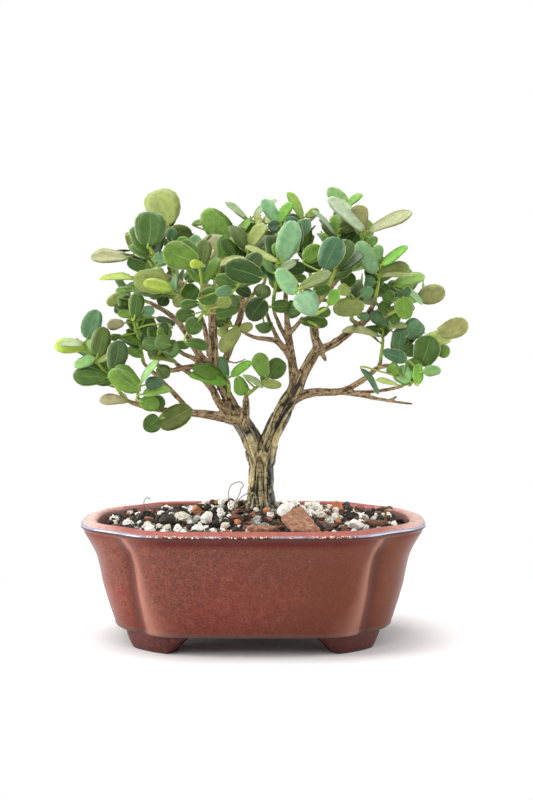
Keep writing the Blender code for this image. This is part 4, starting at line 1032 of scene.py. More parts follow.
# wood: trunk, limbs and twigs; each point is x, y, z and the radius there
limbs = {
    "trunk": [(3.4, 0, 46, 6.8), (3.5, 0, 52, 7), (3.4, 0, 57.5, 6.5), (3.3, 0, 63, 5.7), (3.5, 0, 71, 5.4),
        (3.5, 0, 79, 5.3), (3.4, 0, 85, 4.2)],
    "leftLimb": [(2.9, 0, 77, 4), (0.4, 0.2, 84.5, 4.2), (-2.7, 0.5, 91, 3.95), (-6, 1, 96, 3.7),
        (-9.4, 1, 101.5, 2.8), (-12.2, 0.4, 107.5, 2.4), (-14.9, -0.6, 113, 2.3), (-17, -1, 119, 2.3),
        (-17.8, -1, 127, 2.2), (-17.9, -1, 135, 2.1), (-18.2, 0, 143, 1.8), (-18.5, 2, 151, 1.3)],
    "rightLimb": [(4.4, 0, 77, 4), (6.3, -0.4, 84.5, 4.2), (8.8, -0.8, 91, 3.95), (11.8, -1, 97, 3.9),
        (15, -1, 103, 3.7), (18.3, -1, 109, 3.1)],
    "lowLeftBranch": [(-6, 0.6, 95.8, 2.4), (-11.5, -0.6, 96.6, 2.3), (-17, -2.2, 97.8, 2), (-23, -4.2, 98.8, 1.8),
        (-30, -6.5, 99.6, 1.5), (-38, -8.4, 100.6, 1.3), (-46, -10, 102, 1.2), (-53, -11, 104.2, 1.1)],
    "risingLeftBranch": [(-27, -5.6, 99.3, 1.2), (-31, -6, 103.6, 1.1), (-36, -6.4, 109, 1.1), (-41, -6.8, 114.2, 1),
        (-46.5, -7.4, 119.6, 0.9)],
    "innerLeftBranch": [(-11, -0.4, 98, 1.8), (-15.5, -1.8, 104, 1.7), (-18.8, -2.6, 110.6, 1.6),
        (-21.6, -3, 113.6, 1.4), (-28, -4, 116.6, 1.1), (-34, -5, 121, 0.9)],
    "upperLeftBranch": [(-17.3, -1.4, 119.4, 1.6), (-21.8, -2.6, 122.6, 1.6), (-25.6, -3.6, 127.6, 1.5),
        (-29, -4.6, 133.4, 1.4), (-33.2, -5.4, 139.4, 1.2), (-38, -6, 143.6, 1.1), (-44, -6, 147, 1)],
    "sideLeftBranch": [(-17.2, -1.6, 118.6, 1.4), (-24, -3, 119.8, 1.3), (-30, -4.4, 119.3, 1.2),
        (-36, -6.8, 118.2, 1.1), (-41, -9.4, 120.2, 1)],
    "middleBranch": [(-15.8, -0.4, 117, 1.8), (-13, 0.8, 121.6, 1.7), (-10.2, 1.8, 128, 1.5), (-7.6, 2, 135.4, 1.5),
        (-6, 2.4, 142, 1.3), (-4.6, 3.4, 150, 1.1), (-3, 5, 158, 1)],
    "shortLeftTwig": [(-23.5, -3, 121.5, 1.2), (-27, -3.6, 123.6, 1.1), (-31, -4.2, 125.4, 1), (-35, -5, 128.6, 0.8)],
    "twinLeftBranch": [(-19.4, 2, 124, 1.3), (-20.6, 3, 130, 1.2), (-21.6, 4, 136, 1.1), (-23.4, 5, 142, 0.9)],
    "bareTwig": [(-12.4, 0.6, 122, 0.5), (-7.6, -0.6, 121.3, 0.45), (-3.6, -1.4, 122.8, 0.4)],
    "leafyStub": [(-4.6, -1.6, 94.6, 2.2), (-3.4, -3.4, 100, 1.8), (-3.2, -5, 105.4, 1.4)],
    "rightUpright": [(18, -0.8, 107, 2.4), (18.2, -0.6, 113, 2.3), (17.5, 0, 119.4, 2), (16.6, 0.2, 126, 1.8),
        (15.9, 0.4, 131.4, 1.6), (15.2, 0.8, 137, 1.4), (14.6, 1.4, 144, 1.1), (14.2, 2.4, 152, 1)],
    "rightInnerLow": [(16.9, 0, 123.4, 1.5), (13.4, -1.2, 128, 1.5), (10.2, -1.8, 130.9, 1.3), (6, -2.4, 131.8, 1.1),
        (0.4, -3, 132.6, 0.9), (-3.6, -3.6, 134.4, 0.8)],
    "rightInnerHigh": [(13.2, -0.6, 127.6, 1.2), (10, 0.8, 133.4, 1), (6.8, 1.6, 140.4, 0.9), (4.6, 2, 147, 0.8)],
    "rightInnerMid": [(15.6, 0.4, 130.6, 1.1), (12.4, 2.6, 136, 1), (9.8, 4.6, 142, 0.9)],
    "rightOuter": [(15.5, 0.6, 134, 1.1), (18.6, -1.4, 137.2, 1), (21.6, -3.6, 141, 0.9)],
    "rightRising": [(18.2, -1, 108.4, 2.8), (20.4, -1, 113, 2.5), (23, -1, 118.2, 2.3), (26, -1, 123.6, 2.3),
        (28.4, -0.8, 128.2, 2.1), (27.2, 0, 133, 1.8), (26.6, 1, 138.6, 1.7), (27, 2, 144, 1.5), (27.6, 3, 151, 1.2),
        (30, 5, 158, 1)],
    "rightWide": [(27.4, -1, 126.4, 1.9), (33, -1.6, 128.4, 1.8), (38.2, -2, 131.6, 1.8), (43.6, -2.2, 136, 1.7),
        (48.8, -2.4, 139.4, 1.5), (52, -2.8, 145.4, 1.2)],
    "rightStub": [(29.6, -1.4, 127, 1.1), (31.8, -2, 122.7, 0.9)],
    "lowRightBranch": [(16.6, -1.4, 104.8, 2.3), (22, -2.2, 107.2, 2), (28, -3.2, 108.3, 1.8),
        (34, -4.2, 108.4, 1.6), (40, -5.2, 108.6, 1.5), (46, -6.2, 107.6, 1.2), (53, -7.2, 106, 0.9),
        (61, -8.4, 104.6, 0.7), (69.6, -9.4, 103.5, 0.55)],
    "deadSpur": [(59.4, -8.2, 104.9, 0.6), (62.8, -8.6, 106.6, 0.5)],
    "rightFan": [(39, -5, 108.6, 1.3), (45, -6, 111.8, 1.3), (50, -7, 115.2, 1.2), (54.6, -8, 119.2, 1.1),
        (59.4, -9, 120.4, 0.9)],
    "rightLowTwig": [(45, -6, 108, 1), (52, -7.4, 108.8, 0.9), (60, -9.2, 110, 0.8), (66, -10.4, 112, 0.8),
        (69, -11, 118, 0.8), (70.4, -11.4, 125, 0.8)],
    "backLeftBranch": [(-17.8, -0.6, 126, 1.7), (-17.9, 8, 134, 1.5), (-18.2, 18, 142, 1.3), (-20, 28, 150, 1.1),
        (-24, 37, 156, 0.9)],
    "backRightBranch": [(27.2, 0.4, 134, 1.6), (27.2, 9, 139, 1.5), (27.8, 19, 145, 1.3), (30, 29, 151, 1.1),
        (35, 37, 156, 0.9)],
    "backMiddleBranch": [(-6, 2.4, 141, 1.2), (-4, 11, 147, 1.1), (0, 21, 152, 1), (4, 30, 156, 0.9)],
    "frontLeftBranch": [(-18, -1.4, 137, 1.5), (-18, -10, 142, 1.3), (-17, -19, 146, 1.1), (-15, -28, 149, 0.9)],
    "frontRightBranch": [(26.8, 0, 140, 1.3), (25, -9, 143, 1.2), (23, -18, 146, 1.1), (22, -27, 148, 0.9)],
    "leftCrownBranch": [(-18.3, 0.6, 146, 1.3), (-25, -1, 152, 1.2), (-33, -2, 157, 1.1), (-40, -2.4, 160, 1)],
    "rightCrownBranch": [(27.3, 2.4, 147, 1.3), (33, 0, 153, 1.2), (38, -2, 159, 1)],
    "farRightBranch": [(49.6, -2.6, 140.4, 1.3), (55.4, -4, 144.4, 1.1), (60.4, -5.6, 148, 1)],
}

# leafy shoots: the limb that carries each, how far along it, where the green stem starts and ends,
# and the length of its largest leaves
shoots = {
    "far_left": ("lowLeftBranch", 1, (-57, -12, 107), (-75.5, -15, 131), 14),
    "low_left": ("lowLeftBranch", 0.9, (-50.5, -14, 106), (-50, -23, 111), 14),
    "lowest": ("lowLeftBranch", 0.62, (-35, -11, 98.6), (-42, -18, 97), 14),
    "left_middle": ("risingLeftBranch", 1, (-48.4, -9, 123), (-53, -12, 142), 12),
    "left_inner": ("sideLeftBranch", 1, (-42, -11.6, 121.6), (-40, -19, 131), 11),
    "left_tier": ("upperLeftBranch", 1, (-46.4, -3, 148), (-58, 4, 151), 11),
    "left_lime": ("leftCrownBranch", 0.4, (-30, -13, 149), (-40, -21, 154), 16),
    "left_point": ("leftCrownBranch", 0.85, (-43, -8, 157.4), (-54, -12, 159), 15),
    "left_high": ("leftCrownBranch", 1, (-44, 0, 163.4), (-55, 6, 173), 14),
    "left_crest": ("leftCrownBranch", 0.95, (-41, -6, 162.6), (-47, -11, 175), 16),
    "left_top": ("leftCrownBranch", 0.8, (-36, 10, 162), (-38, 16, 181), 15),
    "front_left_high": ("frontLeftBranch", 0.5, (-22, -20, 153), (-23, -28, 164), 17),
    "pink_old": ("leftLimb", 1, (-17.6, -1, 155), (-14, -9, 166), 15),
    "left_centre_top": ("leftCrownBranch", 0.3, (-20, 12, 160), (-13, 18, 178), 14),
    "centre_top": ("middleBranch", 1, (-2.4, 8, 162), (-1.5, 14, 185), 12),
    "centre_dark": ("middleBranch", 0.86, (-4, -4, 158), (-2, -12, 172), 13),
    "centre_front": ("frontLeftBranch", 1, (-10, -31, 151), (-4, -37, 158), 16),
    "centre_tall": ("rightInnerMid", 1, (9, -10, 150), (10.4, -17, 166), 17),
    "centre_crown": ("rightUpright", 1, (13.6, 3, 157), (12, 2, 183), 13),
    "right_lime_top": ("rightRising", 0.95, (25.6, 12, 160), (20.6, 20, 184), 13),
    "right_slim": ("rightCrownBranch", 1, (38, -5, 163), (37, -8, 178), 14),
    "right_top": ("rightRising", 1, (33, 10, 164), (39.6, 14, 191.6), 13),
    "right_long": ("rightCrownBranch", 0.9, (42, -4, 164), (49, -9, 179), 18),
    "right_teal": ("frontRightBranch", 0.5, (31, -21, 152), (35, -29, 162), 14),
    "right_high": ("rightWide", 1, (53.4, -9, 150), (55, -16, 165), 14),
    "right_bright": ("farRightBranch", 1, (62.6, -6.4, 150.8), (69, -10, 158), 14),
    "right_round": ("farRightBranch", 0.7, (59, -13, 142.6), (66, -22, 147), 11),
    "right_edge": ("farRightBranch", 1, (64.5, -1, 149.6), (76, 7, 152), 12),
    "front_blue": ("frontRightBranch", 1, (20.6, -32, 149.6), (19, -41, 154.6), 14),
    "front_round": ("frontRightBranch", 0.85, (27, -27, 143), (31, -37, 145.4), 12),
    "front_olive": ("rightWide", 0.72, (43, -13, 142), (44, -24, 148), 13),
    "centre_shade": ("rightInnerHigh", 1, (4, -10, 146), (3, -22, 147), 12),
    "left_shade": ("frontLeftBranch", 0.85, (-20, -30, 144), (-21, -39, 150), 12),
    "right_shade": ("rightOuter", 1, (22.8, -6.6, 139.8), (28, -15, 137.4), 12),
    "low_right": ("rightLowTwig", 0.72, (68.6, -15.4, 113), (71, -22, 117), 10.5),
    "right_dark": ("rightLowTwig", 1, (71.8, -12.2, 128.4), (82.5, -14, 136), 15),
    "right_fan_end": ("rightFan", 1, (61.6, -10.6, 122), (67, -9, 133), 12),
    "right_fan_rise": ("rightFan", 0.8, (56, -7, 123.6), (57, -5, 138), 11),
    "centre_low": ("rightInnerLow", 1, (-5.8, -4, 135.8), (-11, -5.4, 138), 12),
    "stub_right": ("leafyStub", 1, (-2.4, -6.8, 107.6), (6.4, -12, 115), 10.5),
    "stub_left": ("leftLimb", 0.44, (-10.8, -4.6, 108.6), (-11.6, -7.6, 115), 12),
    "back_left": ("backLeftBranch", 0.75, (-31, 24, 152), (-46, 28, 160), 14),
    "back_left_top": ("backLeftBranch", 1, (-25.6, 39, 158.8), (-28, 43, 171), 14),
    "back_centre": ("backMiddleBranch", 1, (5, 32, 158), (7, 40, 170), 14),
    "back_right": ("backRightBranch", 1, (37, 39, 158), (44, 44, 168), 14),
    "back_right_low": ("backRightBranch", 0.7, (40, 21, 149), (54, 24, 152), 13),
    "back_low": ("backLeftBranch", 0.6, (-16, 34, 145), (-16, 46, 147), 13),
}

barkLook = {
    "voxel": 0.42,
    "smoothing": 5,
    "relief": 0.135,  # depth of the furrows over the limb's radius
    "mostRelief": 0.80,
    "plateWidth": 1.55,
    "plateLength": 9.5,
    "seed": 7,
}


def smoothPath(knots, step):
    # a curve through the knots: cubic pieces whose slope at a knot is that of its two neighbours
    knots = np.asarray(knots, float)
    spans = norm(np.diff(knots[:, :3], axis=0), axis=1)
    at = join([[0], np.cumsum(spans)])
    if len(knots) > 2:
        slopes = np.gradient(knots, at, axis=0)
    else:
        slopes = repeat((knots[1:] - knots[:1]) / spans[0], 2, axis=0)
    places = linspace(0, at[-1], max(4, int(at[-1] / step) + 1))
    i = clip(np.searchsorted(at, places, side="right") - 1, 0, len(spans) - 1)
    h = spans[i][:, None]
    t = (places - at[i])[:, None] / h
    first, second = knots[i], knots[i + 1]
    curve = (
        (2 * t**3 - 3 * t**2 + 1) * first + (t**3 - 2 * t**2 + t) * h * slopes[i]
        + (3 * t**2 - 2 * t**3) * second + (t**3 - t**2) * h * slopes[i + 1]
    )
    curve[:, 3:] = np.maximum(curve[:, 3:], 0.2)
    return curve, places


def pathFrames(path):
    # at each point of a path: its direction and two directions square to it
    ahead = np.gradient(path, axis=0)
    ahead /= norm(ahead, axis=1, keepdims=True)
    spread = abs(ahead).mean(axis=0)
    guide = np.eye(3)[int(np.argmin(spread))]
    right = guide - ahead * (ahead @ guide)[:, None]
    right /= norm(right, axis=1, keepdims=True)
    return ahead, right, np.cross(ahead, right)


def sweepTube(path, radii, sides, roundEnd=True):
    # circles carried along the path; the far end closes in three shrinking rings
    ahead, right, up = pathFrames(path)
    turn = linspace(0, math.tau, sides, endpoint=False)
    if roundEnd:
        steps = array([0.45, 0.8, 0.97])
        path = join([path, path[-1] + ahead[-1] * radii[-1] * steps[:, None]])
        radii = join([radii, radii[-1] * np.sqrt(1 - steps**2)])
        right, up = (join([side, repeat(side[-1:], 3, axis=0)]) for side in (right, up))
    around = cos(turn)[None, :, None] * right[:, None] + sin(turn)[None, :, None] * up[:, None]
    sections = path[:, None] + around * np.asarray(radii)[:, None, None]
    return closedLoft(sections)


def limbCurve(name, step=0.6):
    # a limb's curve, with a flared collar where a side limb leaves its parent
    curve, travelled = smoothPath(limbs[name], step)
    if name != "trunk":
        start = curve[0, 3]
        curve[:, 3] *= 1 + 0.28 * np.exp(-((travelled / (1.7 * start)) ** 2))
    return curve, travelled


def limbPoint(name, share):
    knots = array(limbs[name], float)
    spans = norm(np.diff(knots[:, :3], axis=0), axis=1)
    at = join([[0], np.cumsum(spans)])
    return array([interp(share * at[-1], at, knots[:, i]) for i in range(4)])


def furrows(around, along, radius, seed):
    # long plates parted by furrows: a furrow runs where noise, stretched along the limb, crosses zero
    look = barkLook
    circle = besides([cos(around) * radius, sin(around) * radius])
    wander = latticeNoise(besides([circle / 5, along / 14]), seed) * 1.3
    wide = clip(radius / 4.0, 0.35, 1.2)
    places = besides([circle / (look["plateWidth"] * wide[:, None]), along / (look["plateLength"] * wide) + wander])
    first = latticeNoise(places, seed + 1)
    second = latticeNoise(places * 2.1 + 9.7, seed + 2)
    crossing = latticeNoise(besides([circle / 2.6, along / (2.4 * wide)]), seed + 3)
    fine = layeredNoise(besides([circle / 0.55, along / 2.2]), seed + 4, 2)
    deep = np.exp(-((first / 0.16) ** 2))
    shallow = np.exp(-((second / 0.15) ** 2))
    crack = np.exp(-((crossing / 0.09) ** 2))
    return 0.42 - deep - 0.42 * shallow - 0.28 * crack + 0.30 * clip(first, -0.2, 1) + 0.22 * fine


def woodLayers(ridge, age, young, stain):
    return {"ridge": ridge, "age": age, "young": young, "stain": stain}


def makeBarkMaterial():
    # furrows are dark, partly as painted shade, plate tops tan up to a painted highlight; age fades to smooth brown
    # twigs and youth to green ones
    material, tree, shader, where = newMaterial("ridged_bark")
    ridge, age = layerNode(tree, "ridge"), layerNode(tree, "age")
    young, stain = layerNode(tree, "young"), layerNode(tree, "stain")
    drawnOut = addNode(tree, "Mapping", {"Vector": where, "Scale": (1, 1, 0.28)}).outputs[0]
    fibre = noise(drawnOut, 1400, 5, 0.7)
    patch = noise(where, 130, 4, 0.6)
    level = plus(ridge, times(minus(fibre, 0.5), 0.55))
    # by ridge height from furrow to plate top: the near-black furrow tones are partly painted shade, the palest plate
    # tones a painted highlight
    old = ramp(level, [
        (0.10, (0.010, 0.009, 0.006)), (0.34, (0.040, 0.031, 0.016)), (0.52, (0.145, 0.108, 0.048)),
        (0.70, (0.34, 0.265, 0.120)), (0.92, (0.60, 0.51, 0.28)),
    ])
    grey = ramp(level, [
        (0.12, (0.010, 0.010, 0.011)), (0.45, (0.055, 0.052, 0.050)), (0.75, (0.17, 0.16, 0.14)),
        (0.95, (0.42, 0.38, 0.30)),
    ])
    old = mixColour(ramp(patch, [(0.52, 0), (0.62, 0.7)]), old, grey)
    old = mixColour(stain, old, grey)
    brown = ramp(level, [(0.15, (0.042, 0.024, 0.013)), (0.45, (0.20, 0.125, 0.062)), (0.75, (0.42, 0.30, 0.16))])
    # lichen: yellow-green crusts low on the trunk
    height = addNode(tree, "SeparateXYZ", {"Vector": where}).outputs["Z"]
    crust = plus(noise(where, 420, 4, 0.6), times(patch, 0.5))
    lowDown = between(height, 0.082, 0.060)
    crust = times(ramp(crust, [(0.80, 0), (0.88, 0.85)]), lowDown)
    old = mixColour(crust, old, (0.46, 0.47, 0.20))
    colour = mixColour(age, brown, old)
    green = ramp(level, [(0.2, (0.10, 0.15, 0.030)), (0.8, (0.30, 0.40, 0.11))])
    colour = mixColour(young, colour, green)
    setInputs(shader, {"Base Color": colour, "Roughness": 0.85, "Normal": bumpNode(fibre, 0.8, 0.0005)})
    return material


def makeWoodSkin(material):
    # all limbs joined in one skin, then moved along its normals by the furrows of the limbs nearby
    tubes, curves = [], {}
    for name in limbs:
        curve, travelled = limbCurve(name)
        curves[name] = (curve, travelled)
        sides = 20 if curve[:, 3].max() > 2 else 12
        tubes.append(sweepTube(curve[:, :3], curve[:, 3], sides))
    for turn, length in ((20, 15), (95, 12), (165, 16), (235, 12), (300, 14)):
        # root flare: low buttresses that run into the mound
        share = linspace(0, 1, 10)
        heading = math.radians(turn)
        path = besides([
            soilShape["trunkX"] + share * length * math.cos(heading), share * length * math.sin(heading) * 0.8,
            61 - 9.5 * share**0.8,
        ])
        tubes.append(sweepTube(path, 3.3 - 1.9 * share, 12))
    rough = makePiece("wood_skin", *joinSolids(tubes), material)
    skin = rough.modifiers.new("skin", "REMESH")
    skin.mode, skin.voxel_size = "VOXEL", barkLook["voxel"] * mm
    ease = rough.modifiers.new("ease", "SMOOTH")
    ease.factor, ease.iterations = 0.5, barkLook["smoothing"]
    mesh = finishedMesh(rough)
    bpy.data.objects.remove(rough, do_unlink=True)
    count = len(mesh.vertices)
    points = (readArray(mesh.vertices, "co", 3) - array([potX, 0, 0])) / mm
    normals = readArray(mesh.vertices, "normal", 3)
    corners = readArray(mesh.loops, "vertex_index", kind=np.int32)
    assert (readArray(mesh.polygons, "loop_total", kind=np.int32) == 4).all()
    total, ridge, age = full(count, 1e-9), zeros(count), zeros(count)
    move = zeros(count)
    for index, name in enumerate(limbs):
        curve, travelled = curves[name]
        path, radii = curve[:, :3], curve[:, 3]
        near = np.all((points > path.min(0) - 9) & (points < path.max(0) + 9), axis=1)
        if not near.any():
            continue
        spot = points[near]
        distance = norm(spot[:, None] - path[None], axis=2)
        nearest = (distance - radii[None]).argmin(axis=1)
        apart = distance[arange(len(spot)), nearest] - radii[nearest]
        ahead, right, up = pathFrames(path)
        offset = spot - path[nearest]
        around = np.arctan2(np.einsum("ij,ij->i", offset, up[nearest]), np.einsum("ij,ij->i", offset, right[nearest]))
        along = travelled[nearest] + np.einsum("ij,ij->i", offset, ahead[nearest])
        radius = radii[nearest]
        weight = np.exp(-clip(apart, -1, 9) / 0.45) * (1 + radius)
        height = furrows(around, along, radius, barkLook["seed"] + index * 11)
        depth = np.minimum(radius * barkLook["relief"], barkLook["mostRelief"])
        knots = 0.10 * radius * np.exp(-(((along % 6.7) - 3.3) / 0.7) ** 2) * clip((2.6 - radius) / 1.2, 0, 1)
        flute = 0.075 * radius * latticeNoise(
            besides([cos(around) * 1.5, sin(around) * 1.5, along / 26]), 90 + index
        )
        total[near] += weight
        move[near] += weight * (height * depth + flute + knots)
        ridge[near] += weight * clip(0.5 + 0.62 * height, 0, 1)
        age[near] += weight * clip((radius - 1.5) / 2.2, 0, 1)
    moved = points + normals * (move / total)[:, None]
    side = clip((moved[:, 0] - 5.2) / 2.5, 0, 1) * clip((84 - moved[:, 2]) / 8, 0, 1)
    base = clip((62 - moved[:, 2]) / 6, 0, 1) * 0.8
    fork = 0.8 * np.exp(-(((moved[:, 0] - 0) / 3.5) ** 2) - ((moved[:, 2] - 92.5) / 4) ** 2)
    stain = clip(np.maximum(side, np.maximum(base, fork)) + 0.15 * latticeNoise(moved / 2.5, 4), 0, 1)
    layers = woodLayers(ridge / total, age / total, zeros(count), stain)
    wood = makePiece("trunk_and_limbs", moved, corners.reshape(-1, 4), [], material, layers)
    keepPiece(wood, "bark", "trunk_and_branches")


def twigCurve(shoot):
    # from the limb to the foot of the shoot, ending in line with it
    limb, share, base, tip = shoot[:4]
    start = limbPoint(limb, share)
    base, tip = array(base, float), array(tip, float)
    heading = (tip - base) / norm(tip - base)
    reach = norm(base - start[:3])
    neck = base - heading * min(2.0, reach / 3)
    middle = (start[:3] + neck) / 2 - heading * reach * 0.08
    knots = [start[:3], middle, neck, base] if reach > 8 else [start[:3], neck, base]
    radii = linspace(min(start[3] * 0.8, 1.1), 0.8, len(knots))
    return smoothPath(besides([knots, radii]), 0.7)


def makeTwigs(material):
    solids, ridge, young = [], [], []
    for index, shoot in enumerate(shoots.values()):
        curve, travelled = twigCurve(shoot)
        path, radii = curve[:, :3], curve[:, 3]
        length = travelled[-1]
        bumps = 1 + 0.16 * np.exp(-((((travelled + index) % 4.6) - 2.3) / 0.5) ** 2)
        solids.append(sweepTube(path, radii * bumps, 8))
        along = join([repeat(append(travelled, [length] * 3), 8), [0, length]])
        ridge.append(0.5 + 0.3 * latticeNoise(solids[-1][0] / 0.8, index))
        young.append(clip(0.25 + (along / length - 0.45) * 1.6, 0, 1) ** 1.2)
    ridge, young = join(ridge), join(young)
    layers = woodLayers(ridge, 0 * ridge, young, 0 * ridge)
    twigs = makePiece("twigs", *joinSolids(solids), material, layers)
    keepPiece(twigs, "bark", "trunk_and_branches")


# dry rootlets and a forked scrap of bark that stand out of the mound: radius, then x, y, z along each
rootlets = [
    (0.2, [(-10.6, -4, 58), (-10.9, -4, 64.6), (-9.6, -4.4, 67.4), (-7.6, -4.6, 68.4), (-5, -4.4, 68.2),
     (-4.5, -4.2, 66.8), (-5.6, -4, 65.4), (-6, -4, 63.6), (-7.2, -3.6, 61), (-8.4, -3.4, 57.5)]),
    (0.2, [(-7.4, -5, 58.5), (-5.8, -5, 61.4), (-3.6, -4.8, 63.0), (-1.2, -3.6, 63.6)]),
    (0.2, [(-49.6, 20, 52), (-50.2, 20, 57.4), (-48.8, 20, 58.6), (-47.6, 20, 57.8)]),
    (0.6, [(58.4, -4, 48.5), (58.7, -4, 52), (58.5, -4, 56.6)]),
    (0.6, [(56.0, -4, 56.6), (57.2, -4, 57.2), (58.8, -4.2, 57.0), (60.4, -4, 57.4), (61.4, -4, 56.8)]),
]


def makeRootlets(material):
    solids = []
    for radius, knots in rootlets:
        curve, _ = smoothPath(besides([knots, full(len(knots), radius)]), 0.5)
        path = curve[:, :3] + 0.16 * besides([latticeNoise(curve[:, :3] / 1.3, seed) for seed in (1, 2, 3)])
        solids.append(sweepTube(path, full(len(path), radius), 6))
    points, quads, tris = joinSolids(solids)
    blank = zeros(len(points))
    layers = woodLayers(blank + 0.45, blank, blank, blank)
    keepPiece(makePiece("dry_rootlets", points, quads, tris, material, layers), "bark", "trunk_and_branches")


barkMaterial = makeBarkMaterial()
makeWoodSkin(barkMaterial)
makeTwigs(barkMaterial)
makeRootlets(barkMaterial)
print("stage: wood")

leafLook = {
    "rows": 7,
    "columns": 5,
    "thickness": 0.55,
    "fold": 0.22,  # how far the edges lift above the midrib, over the half width
    "arch": 0.07,  # how far the middle stands above a straight line, over the length
    "leastSlim": 1.18,  # length over width of the roundest leaf
    "layerStep": 2.6,
    "hiddenEach": 12,
    "hiddenTries": 260,
    "leastApart": 4.2,
    "seed": 31,
}

# the blue, teal and grey tones and darkSheen hold a painted bluish sheen, the reflection on glossy leaves; the
# darkest tones stand partly for painted shade deep in the crown
leafTones = {
    "dark": (0.055, 0.118, 0.013),
    "glossDark": (0.024, 0.06, 0.006),
    "darkOlive": (0.08, 0.122, 0.018),
    "darkSheen": (0.05, 0.1, 0.026),
    "mid": (0.118, 0.23, 0.026),
    "green": (0.198, 0.34, 0.056),
    "bright": (0.156, 0.36, 0.039),
    "brightLime": (0.26, 0.45, 0.07),
    "lime": (0.3, 0.39, 0.036),
    "paleLime": (0.5, 0.6, 0.175),
    "teal": (0.078, 0.176, 0.072),
    "darkTeal": (0.048, 0.119, 0.059),
    "blue": (0.22, 0.41, 0.19),
    "blueRound": (0.18, 0.335, 0.17),
    "blueDark": (0.088, 0.196, 0.083),
    "light": (0.2, 0.39, 0.12),
    "olive": (0.215, 0.265, 0.062),
    "oliveBrown": (0.285, 0.285, 0.1),
    "olivePale": (0.25, 0.27, 0.11),
    "paleOlive": (0.38, 0.41, 0.17),
    "pale": (0.3, 0.35, 0.11),
    "paleGrey": (0.33, 0.42, 0.29),
    "grey": (0.26, 0.33, 0.16),
    "pink": (0.33, 0.3, 0.15),
    "brownEdge": (0.098, 0.133, 0.02),
    "stem": (0.27, 0.37, 0.055),
    "bud": (0.3, 0.14, 0.045),
}


# the dense parts of the crown in the front view: middle (sideways, up) and half sizes
crownMasses = [
    (-38, 160, 16, 9), (-21, 160, 14, 14), (5, 160, 19, 18), (29, 165, 19, 14), (38, 155, 21, 10), (58, 154, 12, 8),
    (-53, 146, 10, 9), (-45, 137, 9, 10), (-53, 137, 8, 7), (-69, 128, 7, 9), (-61, 112, 9, 6), (-50, 107, 9, 6),
    (73, 127, 11, 11), (66, 132, 7, 8), (28, 180, 10, 6), (-33, 174, 9, 5), (66, 117, 8, 6), (-26, 145, 9, 8),
    (10, 145, 12, 6),
]
